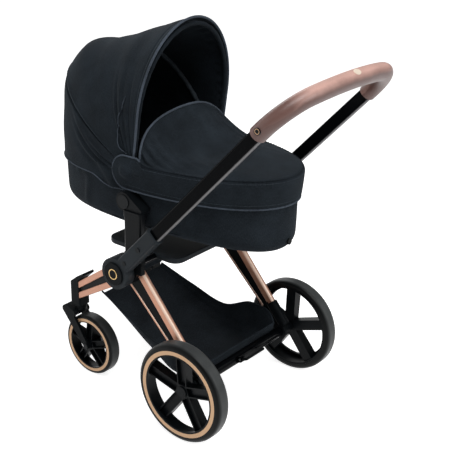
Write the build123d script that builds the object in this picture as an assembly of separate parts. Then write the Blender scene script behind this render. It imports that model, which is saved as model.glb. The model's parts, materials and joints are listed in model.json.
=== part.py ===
from build123d import *
import os
from math import atan2, cos, degrees, hypot, radians, sin, sqrt

# A pram: a folding chassis on two large rear wheels and two casters, with a sliding handle and a
# lift-off carrycot.  Millimetres.  +Y is the way it travels, +Z is up, and X runs across it.
# The origin is on the ground, under the middle of the whole pram.

# ---------------------------------------------------------------- driving dimensions
# rear wheels
rear_wheel_x = 261.0        # middle of the tyre, from the centre plane
rear_axle_y = -157.0
rear_wheel_r = 145.0
rear_tyre_width = 48.0
rear_tyre_depth = 17.4      # tread down to the rim
rear_axle_r = 6.0

# casters
caster_x = 163.0
caster_y = 338.0            # the swivel axis
caster_trail = 48.0         # the wheel's axle lies this far behind the swivel axis
front_wheel_r = 96.0
front_tyre_width = 40.0
front_tyre_depth = 10.0
front_axle_r = 5.0
stem_r = 10.0
stem_length = 58.0
fork_arm = 8.0              # thickness of one fork arm
fork_wheel_gap = 4.0        # air between tyre and fork arm
fork_crown_rise = 22.0      # top of the crown above the top of the tyre
fork_reach = 36.0           # front lobe of the crown, ahead of the swivel axis
fork_front_r = 13.0         # lobes of the crown
fork_rear_r = 12.0
fork_rear_reach = 8.0
fork_foot_r = 10.0          # round end of an arm at the axle

# main hinge, the one cross axis about which handle and rear legs fold
hinge_y = 93.0
hinge_z = 424.0
hinge_pin_r = 8.0

# layers across the hinge, from the centre plane outwards
lug_inner_x = 192.0
lug_thick = 12.0
housing_inner_x = 211.0
housing_thick = 16.0
housing_r = 46.0
socket_gap = 2.0            # between housing and handle socket
socket_thick = 34.0
socket_r = 46.0
cover_r = 34.0
cover_ring_r = 16.0         # outside of the ring set into the cover
cover_ring_inner_r = 12.5
cover_thick = 4.6

# handle
handle_lean = 46.5          # degrees above the horizontal
tube_depth = 37.5           # along the handle's plane of folding
tube_width = 22.0           # across the pram
tube_wall = 2.0
tube_corner_r = 8.0
tube_inset = 3.0            # tube axis inside the socket's middle layer
tube_start = 72.0           # distances along the handle, from the hinge axis
tube_end = 678.0
socket_mouth = 204.0
socket_top_wall = 3.5
socket_back_wall = 4.5
socket_collar = 12.0        # raised band round the mouth
socket_collar_proud = 1.6
button_at = 134.0
button_r = 7.0
button_travel = 2.5
screw_at = 58.0
screw_r = 6.0

# grip bow
grip_rise = 135.0           # bow's middle beyond the ends of the tubes
grip_corner_r = 111.0
grip_crown_r = 865.0
grip_crown_slope = 0.173
grip_core_r = 11.0
grip_plug = 38.0            # core's plug inside the tube
grip_half_depth = 26.0      # in the plane of the bow
grip_half_height = 23.0     # square to that plane
badge_x = 5.0
badge_turn = 80.0           # degrees it faces away from square, towards the rider
badge_long = 13.0
badge_short = 9.0
end_cap_at = 701.0
end_cap_r = 9.0

# front legs, a pair of bars on each side
leg_width = 18.0
leg_hinge_x = 218.0
leg_caster_x = 175.0
leg_depth = 18.5
upper_bar_start = (130.0, 421.0)    # (y, z) of the bars' middle lines
upper_bar_end = (325.0, 287.0)
lower_bar_start = (106.6, 384.0)
lower_bar_end = (325.0, 252.5)
web_thick = 8.0

# rear legs, a thick tube with a thin one in front of it
rear_leg_x = 201.0
thick_depth = 27.0
thick_width = 18.0
thin_depth = 7.0
thin_width = 10.0
rear_web_thick = 6.0
thick_low = (-139.0, 200.0)
thick_high = (58.0, 431.0)
thin_low = (-93.0, 202.0)
thin_high = (100.0, 389.5)
bracket_inner_x = 188.0
bracket_thick = 26.0
bracket_boss_r = 22.0
sleeve_low = (-167.0, 167.0)    # sleeve of the bracket round the thick tube
sleeve_high = (-116.0, 227.0)
sleeve_depth = 33.0
beam_depth = 26.0
beam_height = 30.0
beam_end_r = 12.0

# brake
brake_pin_r = 4.0
brake_hub_r = 9.0
brake_half_width = 30.0
brake_ear = 8.0
brake_rise = 9.0            # pivot above the middle of the beam
brake_tread_reach = 26.0    # tread's far edge behind the pivot
brake_tread_rise = 13.0
brake_tread_half_width = 40.0

# chassis bridge and adapter posts
bridge_half_width = 156.0
bridge_front_y = 226.0
bridge_rear_y = -45.0
bridge_z = 458.0
bridge_thick = 18.0
bridge_corner_r = 34.0
bridge_tube_r = 8.0
bridge_tube_front_y = 68.0
bridge_tube_rear_y = 38.0
post_y = 55.0
post_depth = 62.0
post_width = 22.0
post_foot_z = 482.0
post_top_z = 605.0
collar_height = 18.0
collar_proud = 2.0
pocket_depth = 38.0
tongue_depth = 33.0
tongue_width = 12.0

# basket
basket_half_width = 182.0
basket_lip_y = 272.0
basket_lip_z = 266.0
basket_rod_r = 5.0
basket_wall = 4.0

# carrycot
cot_y = 91.5
cot_half_length = 399.0
cot_half_width = 188.0
cot_rim_z = 660.0
cot_floor_z = 528.0
cot_floor_arch = 20.0
cot_edge_r = 42.0
cot_wall = 8.0
mattress_thick = 34.0
adapter_y = 90.0
adapter_z = 627.0
adapter_r = 27.0
adapter_reach = 34.0        # from the cot's side outwards
release_r = 20.0
release_travel = 3.0
foot_stud_z = 547.0
foot_stud_r = 9.0

# apron over the legs
apron_half_length = 412.0
apron_half_width = 203.0
apron_hem_z = 656.0
apron_top_z = 741.0
apron_edge_r = 12.0
apron_thick = 3.0
flap_y = 58.0
flap_half_width = 191.0
flap_rise = 116.0
flap_run = 150.0
tab_front_y = 149.0
tab_top_z = 749.0

# canopy
canopy_half_length = 402.0
canopy_half_width = 193.0
canopy_thick = 3.0
canopy_hem_z = 645.0
canopy_pivot_y = 86.0
canopy_pivot_z = 710.0
canopy_pin_r = 4.0
canopy_front_lean = 8.3     # degrees, front bow leans back from the vertical
canopy_mid_lean = 34.0      # degrees, middle bow leans forward
bow_r = 4.5
bow_eye_r = 10.0
bow_eye_half = 5.0
front_bow_rise = 380.0
front_bow_spring = 145.0
mid_bow_rise = 357.0
mid_bow_spring = 112.0

# clearances
running = 0.06              # pin in a turning hole, on the radius
sliding = 0.3               # tube in its sleeve, button in its pocket
side_gap = 0.4              # between faces that turn past each other
soft_gap = 1.0              # between cloth and the piece beside it

# ---------------------------------------------------------------- derived places
housing_outer_x = housing_inner_x + housing_thick
socket_inner_x = housing_outer_x + socket_gap
socket_outer_x = socket_inner_x + socket_thick
tube_x = socket_inner_x + socket_thick / 2 - tube_inset
cover_inner_x = socket_outer_x + side_gap
rear_hub_inner_x = rear_wheel_x - rear_tyre_width / 2 + 1.0
bracket_outer_x = bracket_inner_x + bracket_thick
fork_inner = front_tyre_width / 2 + fork_wheel_gap
fork_outer = fork_inner + fork_arm
front_axle_y = caster_y - caster_trail
crown_top_z = 2 * front_wheel_r + fork_crown_rise
housing_foot_z = crown_top_z + 4.0
post_x = housing_outer_x - post_width / 2 - 0.5
hinge_plate_inner_x = canopy_half_width + soft_gap
hinge_plate_thick = 4.0
front_bow_x = canopy_half_width - canopy_thick - soft_gap - 1.0 - bow_eye_half
mid_bow_x = front_bow_x - 2 * bow_eye_half - 1.0
brake_pivot = (rear_axle_y - beam_depth / 2 - brake_hub_r - 1.0, rear_wheel_r + brake_rise)


def side_plane(x):
    """Plane across X at x: its sketches are drawn along Y and Z and its normal is +X."""
    return Plane(origin=(x, 0, 0), x_dir=(0, 1, 0), z_dir=(1, 0, 0))


def slab(outline, x_low, x_high):
    """A side-view outline, given thickness from x_low to x_high."""
    return extrude(side_plane(x_low) * outline, x_high - x_low)


def round_x(y, z, radius, x_low, x_high):
    """A round bar along X."""
    return slab(Pos(y, z) * Circle(radius), x_low, x_high)


def dot(y, z, radius):
    """A circle in side view."""
    return Pos(y, z) * Circle(radius)


def hull(*shapes):
    """The outline that a tight string makes round flat shapes."""
    edges = ShapeList()
    for shape in shapes:
        edges += shape.edges()
    return make_hull(edges)


def mirrored(shape):
    return mirror(shape, Plane.YZ)


def both_sides(shape):
    """The right-hand shape with its left-hand twin, as one group of solids."""
    return Compound(shape.solids() + mirrored(shape).solids())


def bar(plane, start, end, depth, width, corner):
    """A straight bar drawn on a plane from start to end, as wide as width across the plane."""
    run = hypot(end[0] - start[0], end[1] - start[1])
    turn = degrees(atan2(end[1] - start[1], end[0] - start[0]))
    place = plane.location * Pos(start[0], start[1], 0) * Rot(0, 0, turn) * Rot(0, 90, 0)
    return extrude(place * RectangleRounded(width, depth, corner), run)


def keep(name, shape):
    """Write one named piece."""
    solids = shape.solids()
    piece = solids[0] if len(solids) == 1 else Compound(solids)
    export_step(piece, "parts/" + name + ".step")


def keep_pair(name, right):
    """Write a piece and its mirror image as NAME_right and NAME_left."""
    keep(name + "_right", right)
    keep(name + "_left", mirrored(right))


# ---------------------------------------------------------------- wheels
ring_thick = 2.0
ring_in = 0.80              # trim ring and rim lip, as shares of the wheel's own radius
lip_in = 0.765
barrel_wall = 6.0
lip_depth = 7.0
spoke_count = 5
spoke_rib = 3.5             # wall of a channel spoke
channel_depth = 9.0
tyre_shoulder = 14.0


def turned(profile):
    """Turn a profile drawn as (x, radius) about the X axis."""
    return revolve(Plane.XZ * profile, Axis.X)


def band(x_low, x_high, r_low, r_high):
    """Rectangle of a turned profile."""
    return Pos((x_low + x_high) / 2, (r_low + r_high) / 2) * Rectangle(x_high - x_low, r_high - r_low)


def make_tyre(radius, width, depth):
    profile = band(-width / 2, width / 2, radius - depth, radius)
    shoulders = profile.vertices().sort_by(Axis.Y)[-2:]
    return turned(fillet(shoulders, min(tyre_shoulder, 0.8 * depth)))


def make_ring(radius, width, depth):
    return turned(band(width / 2 - ring_thick, width / 2, ring_in * radius, radius - depth))


def make_rim(radius, width, depth, hub_r, bore_r, hub_low, hub_high, axle_end, spoke_width):
    """Moulded rim: a barrel, a flange under the trim ring, dished channel spokes and a hub."""
    seat = radius - depth
    half = width / 2
    face = half - ring_thick
    barrel = band(-half + 2.0, face, seat - barrel_wall, seat)
    flange = band(face - lip_depth, face, lip_in * radius, seat)
    lip = band(face - lip_depth, half, lip_in * radius, ring_in * radius)
    rim = turned(barrel) + turned(flange) + turned(lip)
    rim += turned(band(hub_low, hub_high, 0, hub_r))
    tip = seat - barrel_wall / 2
    root = 0.7 * hub_r
    spoke_out = face - lip_depth
    side = Polyline((hub_low + 2, root), (hub_high - 4, root), (spoke_out, tip), (-half + 8, tip), close=True)
    spoke = extrude(Plane.XZ * make_face(side), spoke_width / 2, both=True)
    inner = 1.3 * hub_r
    outer = seat - barrel_wall - spoke_rib
    cut = Polyline((hub_high - 4 - channel_depth, inner), (hub_high + width, inner),
                   (spoke_out + width, outer), (spoke_out - channel_depth, outer), close=True)
    spoke -= extrude(Plane.XZ * make_face(cut), spoke_width / 2 - spoke_rib, both=True)
    for number in range(spoke_count):
        rim += Rot(360 / spoke_count * number, 0, 0) * spoke
    return rim - turned(band(hub_low - 1, axle_end, 0, bore_r))


def make_rear_wheel():
    place = Pos(rear_wheel_x, rear_axle_y, rear_wheel_r)
    size = (rear_wheel_r, rear_tyre_width, rear_tyre_depth)
    hub_low = rear_hub_inner_x - rear_wheel_x
    keep_pair("rear_tyre", place * make_tyre(*size))
    keep_pair("rear_ring", place * make_ring(*size))
    rim = make_rim(*size, 16.0, rear_axle_r + running, hub_low, 9.0, 4.0, 32.0)
    keep_pair("rear_rim", place * rim)


def make_front_wheel():
    place = Pos(caster_x, front_axle_y, front_wheel_r)
    size = (front_wheel_r, front_tyre_width, front_tyre_depth)
    hub_half = fork_inner - side_gap
    keep_pair("front_tyre", place * make_tyre(*size))
    keep_pair("front_ring", place * make_ring(*size))
    rim = make_rim(*size, 13.0, front_axle_r + running, -hub_half, hub_half, hub_half + 1, 25.0)
    keep_pair("front_rim", place * rim)


# ---------------------------------------------------------------- casters
def make_fork():
    """Two-armed fork with a bridging crown and an upright stem."""
    left = caster_x - fork_outer
    right = caster_x + fork_outer
    front_lobe = dot(caster_y + fork_reach, crown_top_z - 3.0 - fork_front_r, fork_front_r)
    rear_lobe = dot(caster_y + fork_rear_reach, crown_top_z - 2 * fork_rear_r, fork_rear_r)
    shoulder = dot(caster_y + fork_reach / 2, crown_top_z - 2 * fork_rear_r, fork_foot_r)
    arm = hull(dot(front_axle_y, front_wheel_r, fork_foot_r), shoulder, front_lobe)
    fork = slab(hull(front_lobe, rear_lobe), left, right)
    fork += slab(arm, left, left + fork_arm) + slab(arm, right - fork_arm, right)
    fork -= round_x(front_axle_y, front_wheel_r, front_wheel_r + fork_wheel_gap,
                    caster_x - fork_inner, caster_x + fork_inner)
    boss_z = crown_top_z - 14.0
    fork += extrude(Pos(caster_x, caster_y, boss_z) * Circle(stem_r + 8.0), crown_top_z + 1.0 - boss_z)
    fork += extrude(Pos(caster_x, caster_y, crown_top_z) * Circle(stem_r), stem_length)
    return fork - front_axle_bar()


def front_axle_bar():
    return round_x(front_axle_y, front_wheel_r, front_axle_r, caster_x - fork_outer, caster_x + fork_outer)


def make_front_axle():
    head = 3.0
    axle = front_axle_bar()
    for face, low in ((caster_x - fork_outer, -head), (caster_x + fork_outer, 0.0)):
        axle += round_x(front_axle_y, front_wheel_r, front_axle_r + 4.0, face + low, face + low + head)
    return axle


def front_leg_plane():
    """Upright plane that holds one side's front leg, slanting inwards to the caster."""
    y_hinge = lower_bar_start[0]
    slope = (leg_caster_x - leg_hinge_x) / (upper_bar_end[0] - y_hinge)
    origin = (leg_hinge_x - slope * y_hinge, 0, 0)
    return Plane(origin=origin, x_dir=(slope, 1, 0), z_dir=(1, -slope, 0)), sqrt(1 + slope * slope)


def front_leg_pieces():
    plane, stretch = front_leg_plane()
    ends = []
    for y, z in (upper_bar_start, upper_bar_end, lower_bar_start, lower_bar_end):
        ends.append((y * stretch, z))
    bars = bar(plane, ends[0], ends[1], leg_depth, leg_width, 3.0)
    bars += bar(plane, ends[2], ends[3], leg_depth, leg_width, 3.0)
    outline = make_face(Polyline(ends[0], ends[1], ends[3], ends[2], close=True))
    web = extrude(plane * outline, web_thick / 2, both=True) - bars
    return bars, web


def make_caster_housing(bars, web):
    """Upright housing of the swivel stem, with a hook over the upper leg bar."""
    top_z = upper_bar_end[1]
    outline = Polyline((caster_y - 19, housing_foot_z), (caster_y + 20, housing_foot_z),
                       (caster_y + 20, top_z + 4), (caster_y + 13, top_z + 11),
                       (caster_y - 14, top_z + 32), (caster_y - 38, top_z + 47),
                       (caster_y - 42, top_z + 41), (caster_y - 19, top_z + 20), close=True)
    face = make_face(outline)
    body = slab(face, caster_x - 21.0, caster_x + 23.0)
    upright = body.edges().filter_by(Axis.Z)
    body = fillet(upright, 6.0)
    bore = extrude(Pos(caster_x, caster_y, housing_foot_z - 1) * Circle(stem_r + running), stem_length - 1)
    return body - bore - bars - web


# ---------------------------------------------------------------- main hinge
def hinge_hole(radius, x_low, x_high):
    return round_x(hinge_y, hinge_z, radius, x_low, x_high)


def make_hinge_housing(bars, web):
    """Side plate of the chassis: front leg, cross tubes, post and hinge pin meet in it."""
    ear = hull(dot(hinge_y, hinge_z, housing_r),
               dot(bridge_tube_front_y, bridge_z, bridge_tube_r + 8.0),
               dot(bridge_tube_rear_y, bridge_z, bridge_tube_r + 8.0))
    height = post_foot_z - hinge_z
    column = Pos(post_y, hinge_z + height / 2) * Rectangle(post_depth, height)
    body = slab(ear + column, housing_inner_x, housing_outer_x)
    body += hinge_hole(hinge_pin_r + 8.0, lug_inner_x + lug_thick + side_gap, housing_inner_x)
    for y in (bridge_tube_front_y, bridge_tube_rear_y):
        body -= round_x(y, bridge_z, bridge_tube_r, housing_inner_x - 1, housing_inner_x + 10.0)
    return body - bars - web - hinge_hole(hinge_pin_r, lug_inner_x, housing_outer_x + 1)


def make_hinge_pin():
    head = hinge_hole(hinge_pin_r + 5.0, lug_inner_x - side_gap - 4.0, lug_inner_x - side_gap)
    return head + hinge_hole(hinge_pin_r, lug_inner_x - side_gap - 1, cover_inner_x)


def make_hinge_cover():
    """Plain round cover on the end of the pin, with a shallow ring in its face."""
    cover = round_x(hinge_y, hinge_z, cover_r, cover_inner_x, cover_inner_x + cover_thick)
    cover = fillet(cover.edges().sort_by(Axis.X)[-1], 2.0)
    face = cover_inner_x + cover_thick
    ring = dot(hinge_y, hinge_z, cover_ring_r) - dot(hinge_y, hinge_z, cover_ring_inner_r)
    groove = slab(ring, face - 0.8, face + 1)
    return cover - groove


# ---------------------------------------------------------------- handle
along = (-cos(radians(handle_lean)), sin(radians(handle_lean)))
square = (sin(radians(handle_lean)), cos(radians(handle_lean)))


def on_handle(run, off=0.0):
    """(y, z) of a point run along the handle from the hinge and off square to it."""
    return (hinge_y + run * along[0] + off * square[0], hinge_z + run * along[1] + off * square[1])


def handle_bar(run_low, run_high, depth, width, corner, off=0.0):
    return bar(side_plane(tube_x), on_handle(run_low, off), on_handle(run_high, off), depth, width, corner)


def button_bore(radius, x_low, x_high):
    y, z = on_handle(button_at)
    return round_x(y, z, radius, x_low, x_high)


def make_socket():
    """Knee and sleeve that carry the handle tube."""
    sleeve_depth = tube_depth + socket_top_wall + socket_back_wall
    off = (socket_top_wall - socket_back_wall) / 2
    middle_x = socket_inner_x + socket_thick / 2
    end = on_handle(socket_mouth, off)
    body = bar(side_plane(middle_x), on_handle(0, off), end, sleeve_depth, socket_thick, 7.0)
    band_start = on_handle(socket_mouth - socket_collar, off)
    body += bar(side_plane(middle_x), band_start, end, sleeve_depth + 2 * socket_collar_proud, socket_thick, 9.0)
    knee = slab(dot(hinge_y, hinge_z, socket_r), socket_inner_x, socket_outer_x)
    body += knee
    body -= handle_bar(tube_start - 6.0, socket_mouth + 1, tube_depth + 2 * sliding,
                       tube_width + 2 * sliding, tube_corner_r + sliding)
    body -= hinge_hole(hinge_pin_r + running, socket_inner_x - 1, socket_outer_x + 1)
    body -= button_bore(button_r + sliding, tube_x, socket_outer_x + 1)
    return body - socket_screw_bar()


def socket_screw_bar():
    y, z = on_handle(screw_at)
    head = round_x(y, z, screw_r, socket_outer_x - 3.0, socket_outer_x + 1.5)
    return head + round_x(y, z, screw_r / 2, socket_inner_x + 6.0, socket_outer_x - 3.0)


def make_button():
    low = tube_x + tube_width / 2 + button_travel + sliding
    return button_bore(button_r, low, socket_outer_x + button_travel)


def make_tube():
    inside = handle_bar(tube_start - 1, tube_end + 1, tube_depth - 2 * tube_wall, tube_width - 2 * tube_wall,
                        tube_corner_r - tube_wall)
    return handle_bar(tube_start, tube_end, tube_depth, tube_width, tube_corner_r) - inside


def bow_plane():
    """Plane of the handle: its sketches run along X and up the handle."""
    return Plane(origin=(0, hinge_y, hinge_z), x_dir=(1, 0, 0), z_dir=(0, -square[0], -square[1]))


def grip_path():
    """Flat arch between the tubes' ends: straight, corner arc, crown arc and back."""
    top = tube_end + grip_rise
    peak = top + grip_crown_r * (sqrt(1 + grip_crown_slope ** 2) - 1)
    shoulder = peak - grip_crown_slope * tube_x
    points = [(-tube_x, tube_end), (-tube_x, shoulder), (0, peak), (tube_x, shoulder), (tube_x, tube_end)]
    return bow_plane() * FilletPolyline(*points, radius=[grip_corner_r, grip_crown_r, grip_corner_r])


def swept(section, path):
    """Sweep a flat section along a path from its first point."""
    start = Plane(origin=path @ 0, x_dir=(1, 0, 0), z_dir=path % 0)
    return sweep(start * section, path=path)


def make_grip():
    path = grip_path()
    core = swept(Circle(grip_core_r), path)
    leather = swept(Ellipse(grip_half_depth, grip_half_height), path) - core
    plug = handle_bar(tube_end - grip_plug, tube_end, tube_depth - 2 * tube_wall, tube_width - 2 * tube_wall,
                      tube_corner_r - tube_wall)
    core = core + plug + mirrored(plug)
    return core, leather


def make_badge():
    """Plain oval plate let into the outside of the bow."""
    y, z = on_handle(tube_end + grip_rise)
    face = radians(badge_turn)
    toward = (0, cos(face) * square[0] + sin(face) * along[0], cos(face) * square[1] + sin(face) * along[1])
    place = Plane(origin=(badge_x, y, z), x_dir=(1, 0, 0), z_dir=toward)
    return extrude(place.offset(grip_half_depth - 3.5) * Ellipse(badge_long, badge_short), 4.3)


def make_end_cap():
    y, z = on_handle(end_cap_at)
    face = tube_x + grip_half_depth
    return round_x(y, z, end_cap_r, face - 3.0, face + 1.5)


# ---------------------------------------------------------------- rear frame
def rear_leg_pieces():
    plane = side_plane(rear_leg_x)
    bars = bar(plane, thick_low, thick_high, thick_depth, thick_width, 8.0)
    bars += bar(plane, thin_low, thin_high, thin_depth, thin_width, 2.5)
    outline = make_face(Polyline(thick_low, thick_high, thin_high, thin_low, close=True))
    web = extrude(plane * outline, rear_web_thick / 2, both=True) - bars
    return bars, web


def make_lug(bars, web):
    """Upper end of a rear leg, turning on the hinge pin."""
    outline = hull(dot(hinge_y, hinge_z, 24.0), dot(thick_high[0], thick_high[1] - 6, 19.0),
                   dot(thin_high[0] - 4, thin_high[1] - 6, 12.0))
    lug = slab(outline, lug_inner_x, lug_inner_x + lug_thick)
    return lug - bars - web - hinge_hole(hinge_pin_r + running, lug_inner_x - 1, lug_inner_x + lug_thick + 1)


def make_rear_bracket(bars, web):
    """Foot of a rear leg, with the boss that carries the wheel's axle."""
    boss = dot(rear_axle_y, rear_wheel_r, bracket_boss_r)
    outline = hull(boss, dot(thin_low[0], thin_low[1], thin_depth), dot(*sleeve_high, thin_depth))
    body = slab(outline, bracket_inner_x + 4.0, bracket_outer_x - 4.0) + slab(boss, bracket_inner_x, bracket_outer_x)
    body += bar(side_plane(rear_leg_x), sleeve_low, sleeve_high, sleeve_depth, bracket_thick, 10.0)
    body += round_x(rear_axle_y, rear_wheel_r, rear_axle_r + 8.0, bracket_outer_x, rear_hub_inner_x - side_gap)
    return body - bars - web - rear_axle_bar()


def rear_axle_bar():
    return round_x(rear_axle_y, rear_wheel_r, rear_axle_r, bracket_inner_x + 2.0, rear_wheel_x + 3.0)


def make_beam():
    """Cross beam between the brackets, with two ears for the brake pedal."""
    beam = slab(Pos(rear_axle_y, rear_wheel_r) * RectangleRounded(beam_depth, beam_height, beam_end_r),
                -bracket_inner_x, bracket_inner_x)
    root = Pos(rear_axle_y, rear_wheel_r) * Rectangle(beam_depth - 4, 10.0)
    outline = hull(dot(*brake_pivot, brake_hub_r), root)
    for side in (-1, 1):
        low = side * (brake_half_width + brake_ear / 2) - brake_ear / 2
        beam += slab(outline, low, low + brake_ear)
    return beam - brake_pin_bar()


def brake_pin_bar():
    reach = brake_half_width + brake_ear
    return round_x(*brake_pivot, brake_pin_r, -reach, reach)


def make_brake_pedal():
    """Foot tread close behind the beam, turning on its pin."""
    y, z = brake_pivot
    hub = brake_half_width - side_gap
    near = dot(y - 0.62 * brake_tread_reach, z + 0.7 * brake_tread_rise, 5.0)
    far = dot(y - brake_tread_reach, z + brake_tread_rise, 4.0)
    pedal = slab(hull(dot(y, z, brake_hub_r), near), -hub, hub)
    pedal += slab(hull(near, far), -brake_tread_half_width, brake_tread_half_width)
    return pedal - round_x(y, z, brake_pin_r + running, -hub - 1, hub + 1)


# ---------------------------------------------------------------- chassis bridge, posts and basket
def bridge_tube(y, reach):
    return round_x(y, bridge_z, bridge_tube_r, -reach, reach)


def make_bridge():
    """Smooth tray between the two sides, on two cross tubes."""
    length = bridge_front_y - bridge_rear_y
    plan = RectangleRounded(2 * bridge_half_width, length, bridge_corner_r)
    middle = (bridge_front_y + bridge_rear_y) / 2
    body = extrude(Pos(0, middle, bridge_z - bridge_thick / 2) * plan, bridge_thick)
    body = fillet(body.faces().sort_by(Axis.Z)[0].edges(), 7.0)
    body = fillet(body.faces().sort_by(Axis.Z)[-1].edges(), 3.0)
    for y in (bridge_tube_front_y, bridge_tube_rear_y):
        body -= bridge_tube(y, bridge_half_width + 1)
    return body


def make_post():
    """Upright post that takes the carrycot's tongue, with a collar round its mouth."""
    plan = RectangleRounded(post_width, post_depth, 6.0)
    wide = RectangleRounded(post_width + collar_proud, post_depth + 2 * collar_proud, 7.0)
    post = extrude(Pos(post_x, post_y, post_foot_z) * plan, post_top_z - post_foot_z)
    post += extrude(Pos(post_x, post_y, post_top_z - collar_height) * wide, collar_height)
    pocket = Rectangle(tongue_width + 2 * sliding, tongue_depth + 2 * sliding)
    return post - extrude(Pos(post_x, post_y, post_top_z - pocket_depth) * pocket, pocket_depth + 1)


def basket_profile(raise_floor, top):
    """Side view of the basket: dipping rim above, sloping floor below."""
    rear_y = rear_axle_y + beam_depth / 2 + soft_gap + raise_floor
    floor_z = rear_wheel_r - 30.0 + raise_floor
    floor = [(basket_lip_y + raise_floor, basket_lip_z - 6 + 1.6 * raise_floor),
             (78.0, floor_z + 33), (-37.0, floor_z), (rear_y, floor_z + 6)]
    if top is None:
        corner = (rear_y, 160.0)
        rim = Spline(corner, (-134.0, 186.0), (-106.0, 206.0), (-58.0, 209.0), (31.0, 182.0), (150.0, 218.0),
                     (basket_lip_y, basket_lip_z))
        back = Line(floor[3], corner)
        lip = Line((basket_lip_y, basket_lip_z), floor[0])
        return make_face(Polyline(*floor) + back + rim + lip)
    return make_face(Polyline(*floor, (rear_y, top), (basket_lip_y + raise_floor, top), close=True))


def basket_plan(inset):
    rear_y = rear_axle_y + beam_depth / 2 + soft_gap + inset
    wide = basket_half_width - inset
    corners = [(wide, rear_y), (wide, -60.0), (162.0 - inset, 40.0), (137.0 - inset, basket_lip_y + 2 * inset)]
    across = [(-x, y) for x, y in reversed(corners)]
    return make_face(Polyline(*corners, *across, close=True))


def basket_form(inset, top):
    prism = extrude(Pos(0, 0, 60.0) * basket_plan(inset), 400.0)
    return prism & slab(basket_profile(inset, top), -200.0, 200.0)


def make_basket():
    """Sling of cloth with low walls, open at the top."""
    return basket_form(0.0, None) - basket_form(basket_wall, 420.0)


def make_basket_rod(bars, web):
    y = basket_lip_y + basket_rod_r + soft_gap
    rod = round_x(y, basket_lip_z + 10.0, basket_rod_r, -leg_caster_x, leg_caster_x)
    return rod - bars - mirrored(bars) - web - mirrored(web)


# ---------------------------------------------------------------- carrycot
def oval_prism(half_width, half_length, z_low, z_high):
    return extrude(Pos(0, cot_y, z_low) * Ellipse(half_width, half_length), z_high - z_low)


def tub_form(inset, top):
    """Oval tub with an arched floor and a rounded bottom edge, smaller all round by inset."""
    width = cot_half_width - inset
    length = cot_half_length - inset
    middle = cot_floor_z + inset
    ends = middle - cot_floor_arch
    arc = ThreePointArc((cot_y - length, ends), (cot_y, middle), (cot_y + length, ends))
    sides = Polyline((cot_y + length, ends), (cot_y + length, top), (cot_y - length, top), (cot_y - length, ends))
    form = oval_prism(width, length, ends - 5.0, top) & slab(make_face(arc + sides), -width, width)
    low_edges = [edge for edge in form.edges() if edge.bounding_box().max.Z < middle + 1.0]
    return fillet(low_edges, cot_edge_r - inset)


def make_tub():
    return tub_form(0.0, cot_rim_z) - tub_form(cot_wall, cot_rim_z + 5.0)


def make_mattress():
    top = cot_floor_z + cot_wall + mattress_thick
    return tub_form(cot_wall + 2.0, cot_rim_z) & oval_prism(cot_half_width, cot_half_length, 0.0, top)


def make_adapter(tub_outside):
    """Clip on the cot's side: a round head over a foot that stands on the post."""
    foot_height = 10.0
    foot = Pos(post_y, post_top_z + foot_height / 2) * Rectangle(post_depth, foot_height)
    outline = hull(dot(adapter_y, adapter_z, adapter_r), foot)
    outer = cot_half_width + adapter_reach
    clip = slab(outline, cot_half_width - 12.0, outer) - tub_outside
    below = post_top_z - adapter_z + 2 * adapter_r
    rest = Pos(post_y, post_top_z - below / 2) * Rectangle(post_depth + 2 * collar_proud + 2.0, below)
    clip -= slab(rest, 0.0, outer + 1.0)
    clip -= round_x(adapter_y, adapter_z, release_r + sliding, outer - 2 * release_travel - 1, outer + 1)
    plan = Rectangle(tongue_width, tongue_depth)
    depth = pocket_depth - 1.0
    return clip + extrude(Pos(post_x, post_y, post_top_z - depth) * plan, depth + 2)


def make_release():
    outer = cot_half_width + adapter_reach
    return round_x(adapter_y, adapter_z, release_r, outer - release_travel, outer + 2.5)


def make_canopy_hinge(adapter):
    """Plate outside the canopy cloth, standing on the adapter, with the bows' pivot pin."""
    foot = Pos(canopy_pivot_y, adapter_z + adapter_r - 9.0) * Rectangle(22.0, 10.0)
    outline = hull(dot(canopy_pivot_y, canopy_pivot_z, 12.0), foot)
    plate = slab(outline, hinge_plate_inner_x, hinge_plate_inner_x + hinge_plate_thick) - adapter
    pin = round_x(canopy_pivot_y, canopy_pivot_z, canopy_pin_r, mid_bow_x - bow_eye_half - 1.5,
                  hinge_plate_inner_x)
    return plate + pin


def apron_form(inset):
    """Quilted lid over the foot end, sweeping up into an arched flap."""
    width = apron_half_width - inset
    length = apron_half_length - inset
    top = apron_top_z - inset
    skirt = oval_prism(width, length, apron_hem_z - 2 * inset, top)
    skirt = fillet(skirt.edges().group_by(Axis.Z)[-1], apron_edge_r - inset)
    arch = Pos(0, apron_top_z - 4.0) * Ellipse(flap_half_width - inset, flap_rise + 4.0 - inset)
    end_y = flap_y + inset
    tunnel = extrude(Plane(origin=(0, end_y, 0), x_dir=(1, 0, 0), z_dir=(0, -1, 0)) * arch, flap_run + 10.0)
    crest = apron_top_z + flap_rise
    rise = ThreePointArc((flap_y - flap_run, apron_top_z - 4.0 - inset),
                         (flap_y - 0.33 * flap_run, apron_top_z + 0.24 * flap_rise - inset),
                         (flap_y - 8.0, crest - inset))
    close = Polyline((flap_y - 8.0, crest - inset), (end_y, crest - inset), (end_y, apron_top_z - 30.0),
                     (flap_y - flap_run, apron_top_z - 30.0), (flap_y - flap_run, apron_top_z - 4.0 - inset))
    form = skirt + (tunnel & slab(make_face(rise + close), -width, width))
    return form


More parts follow.
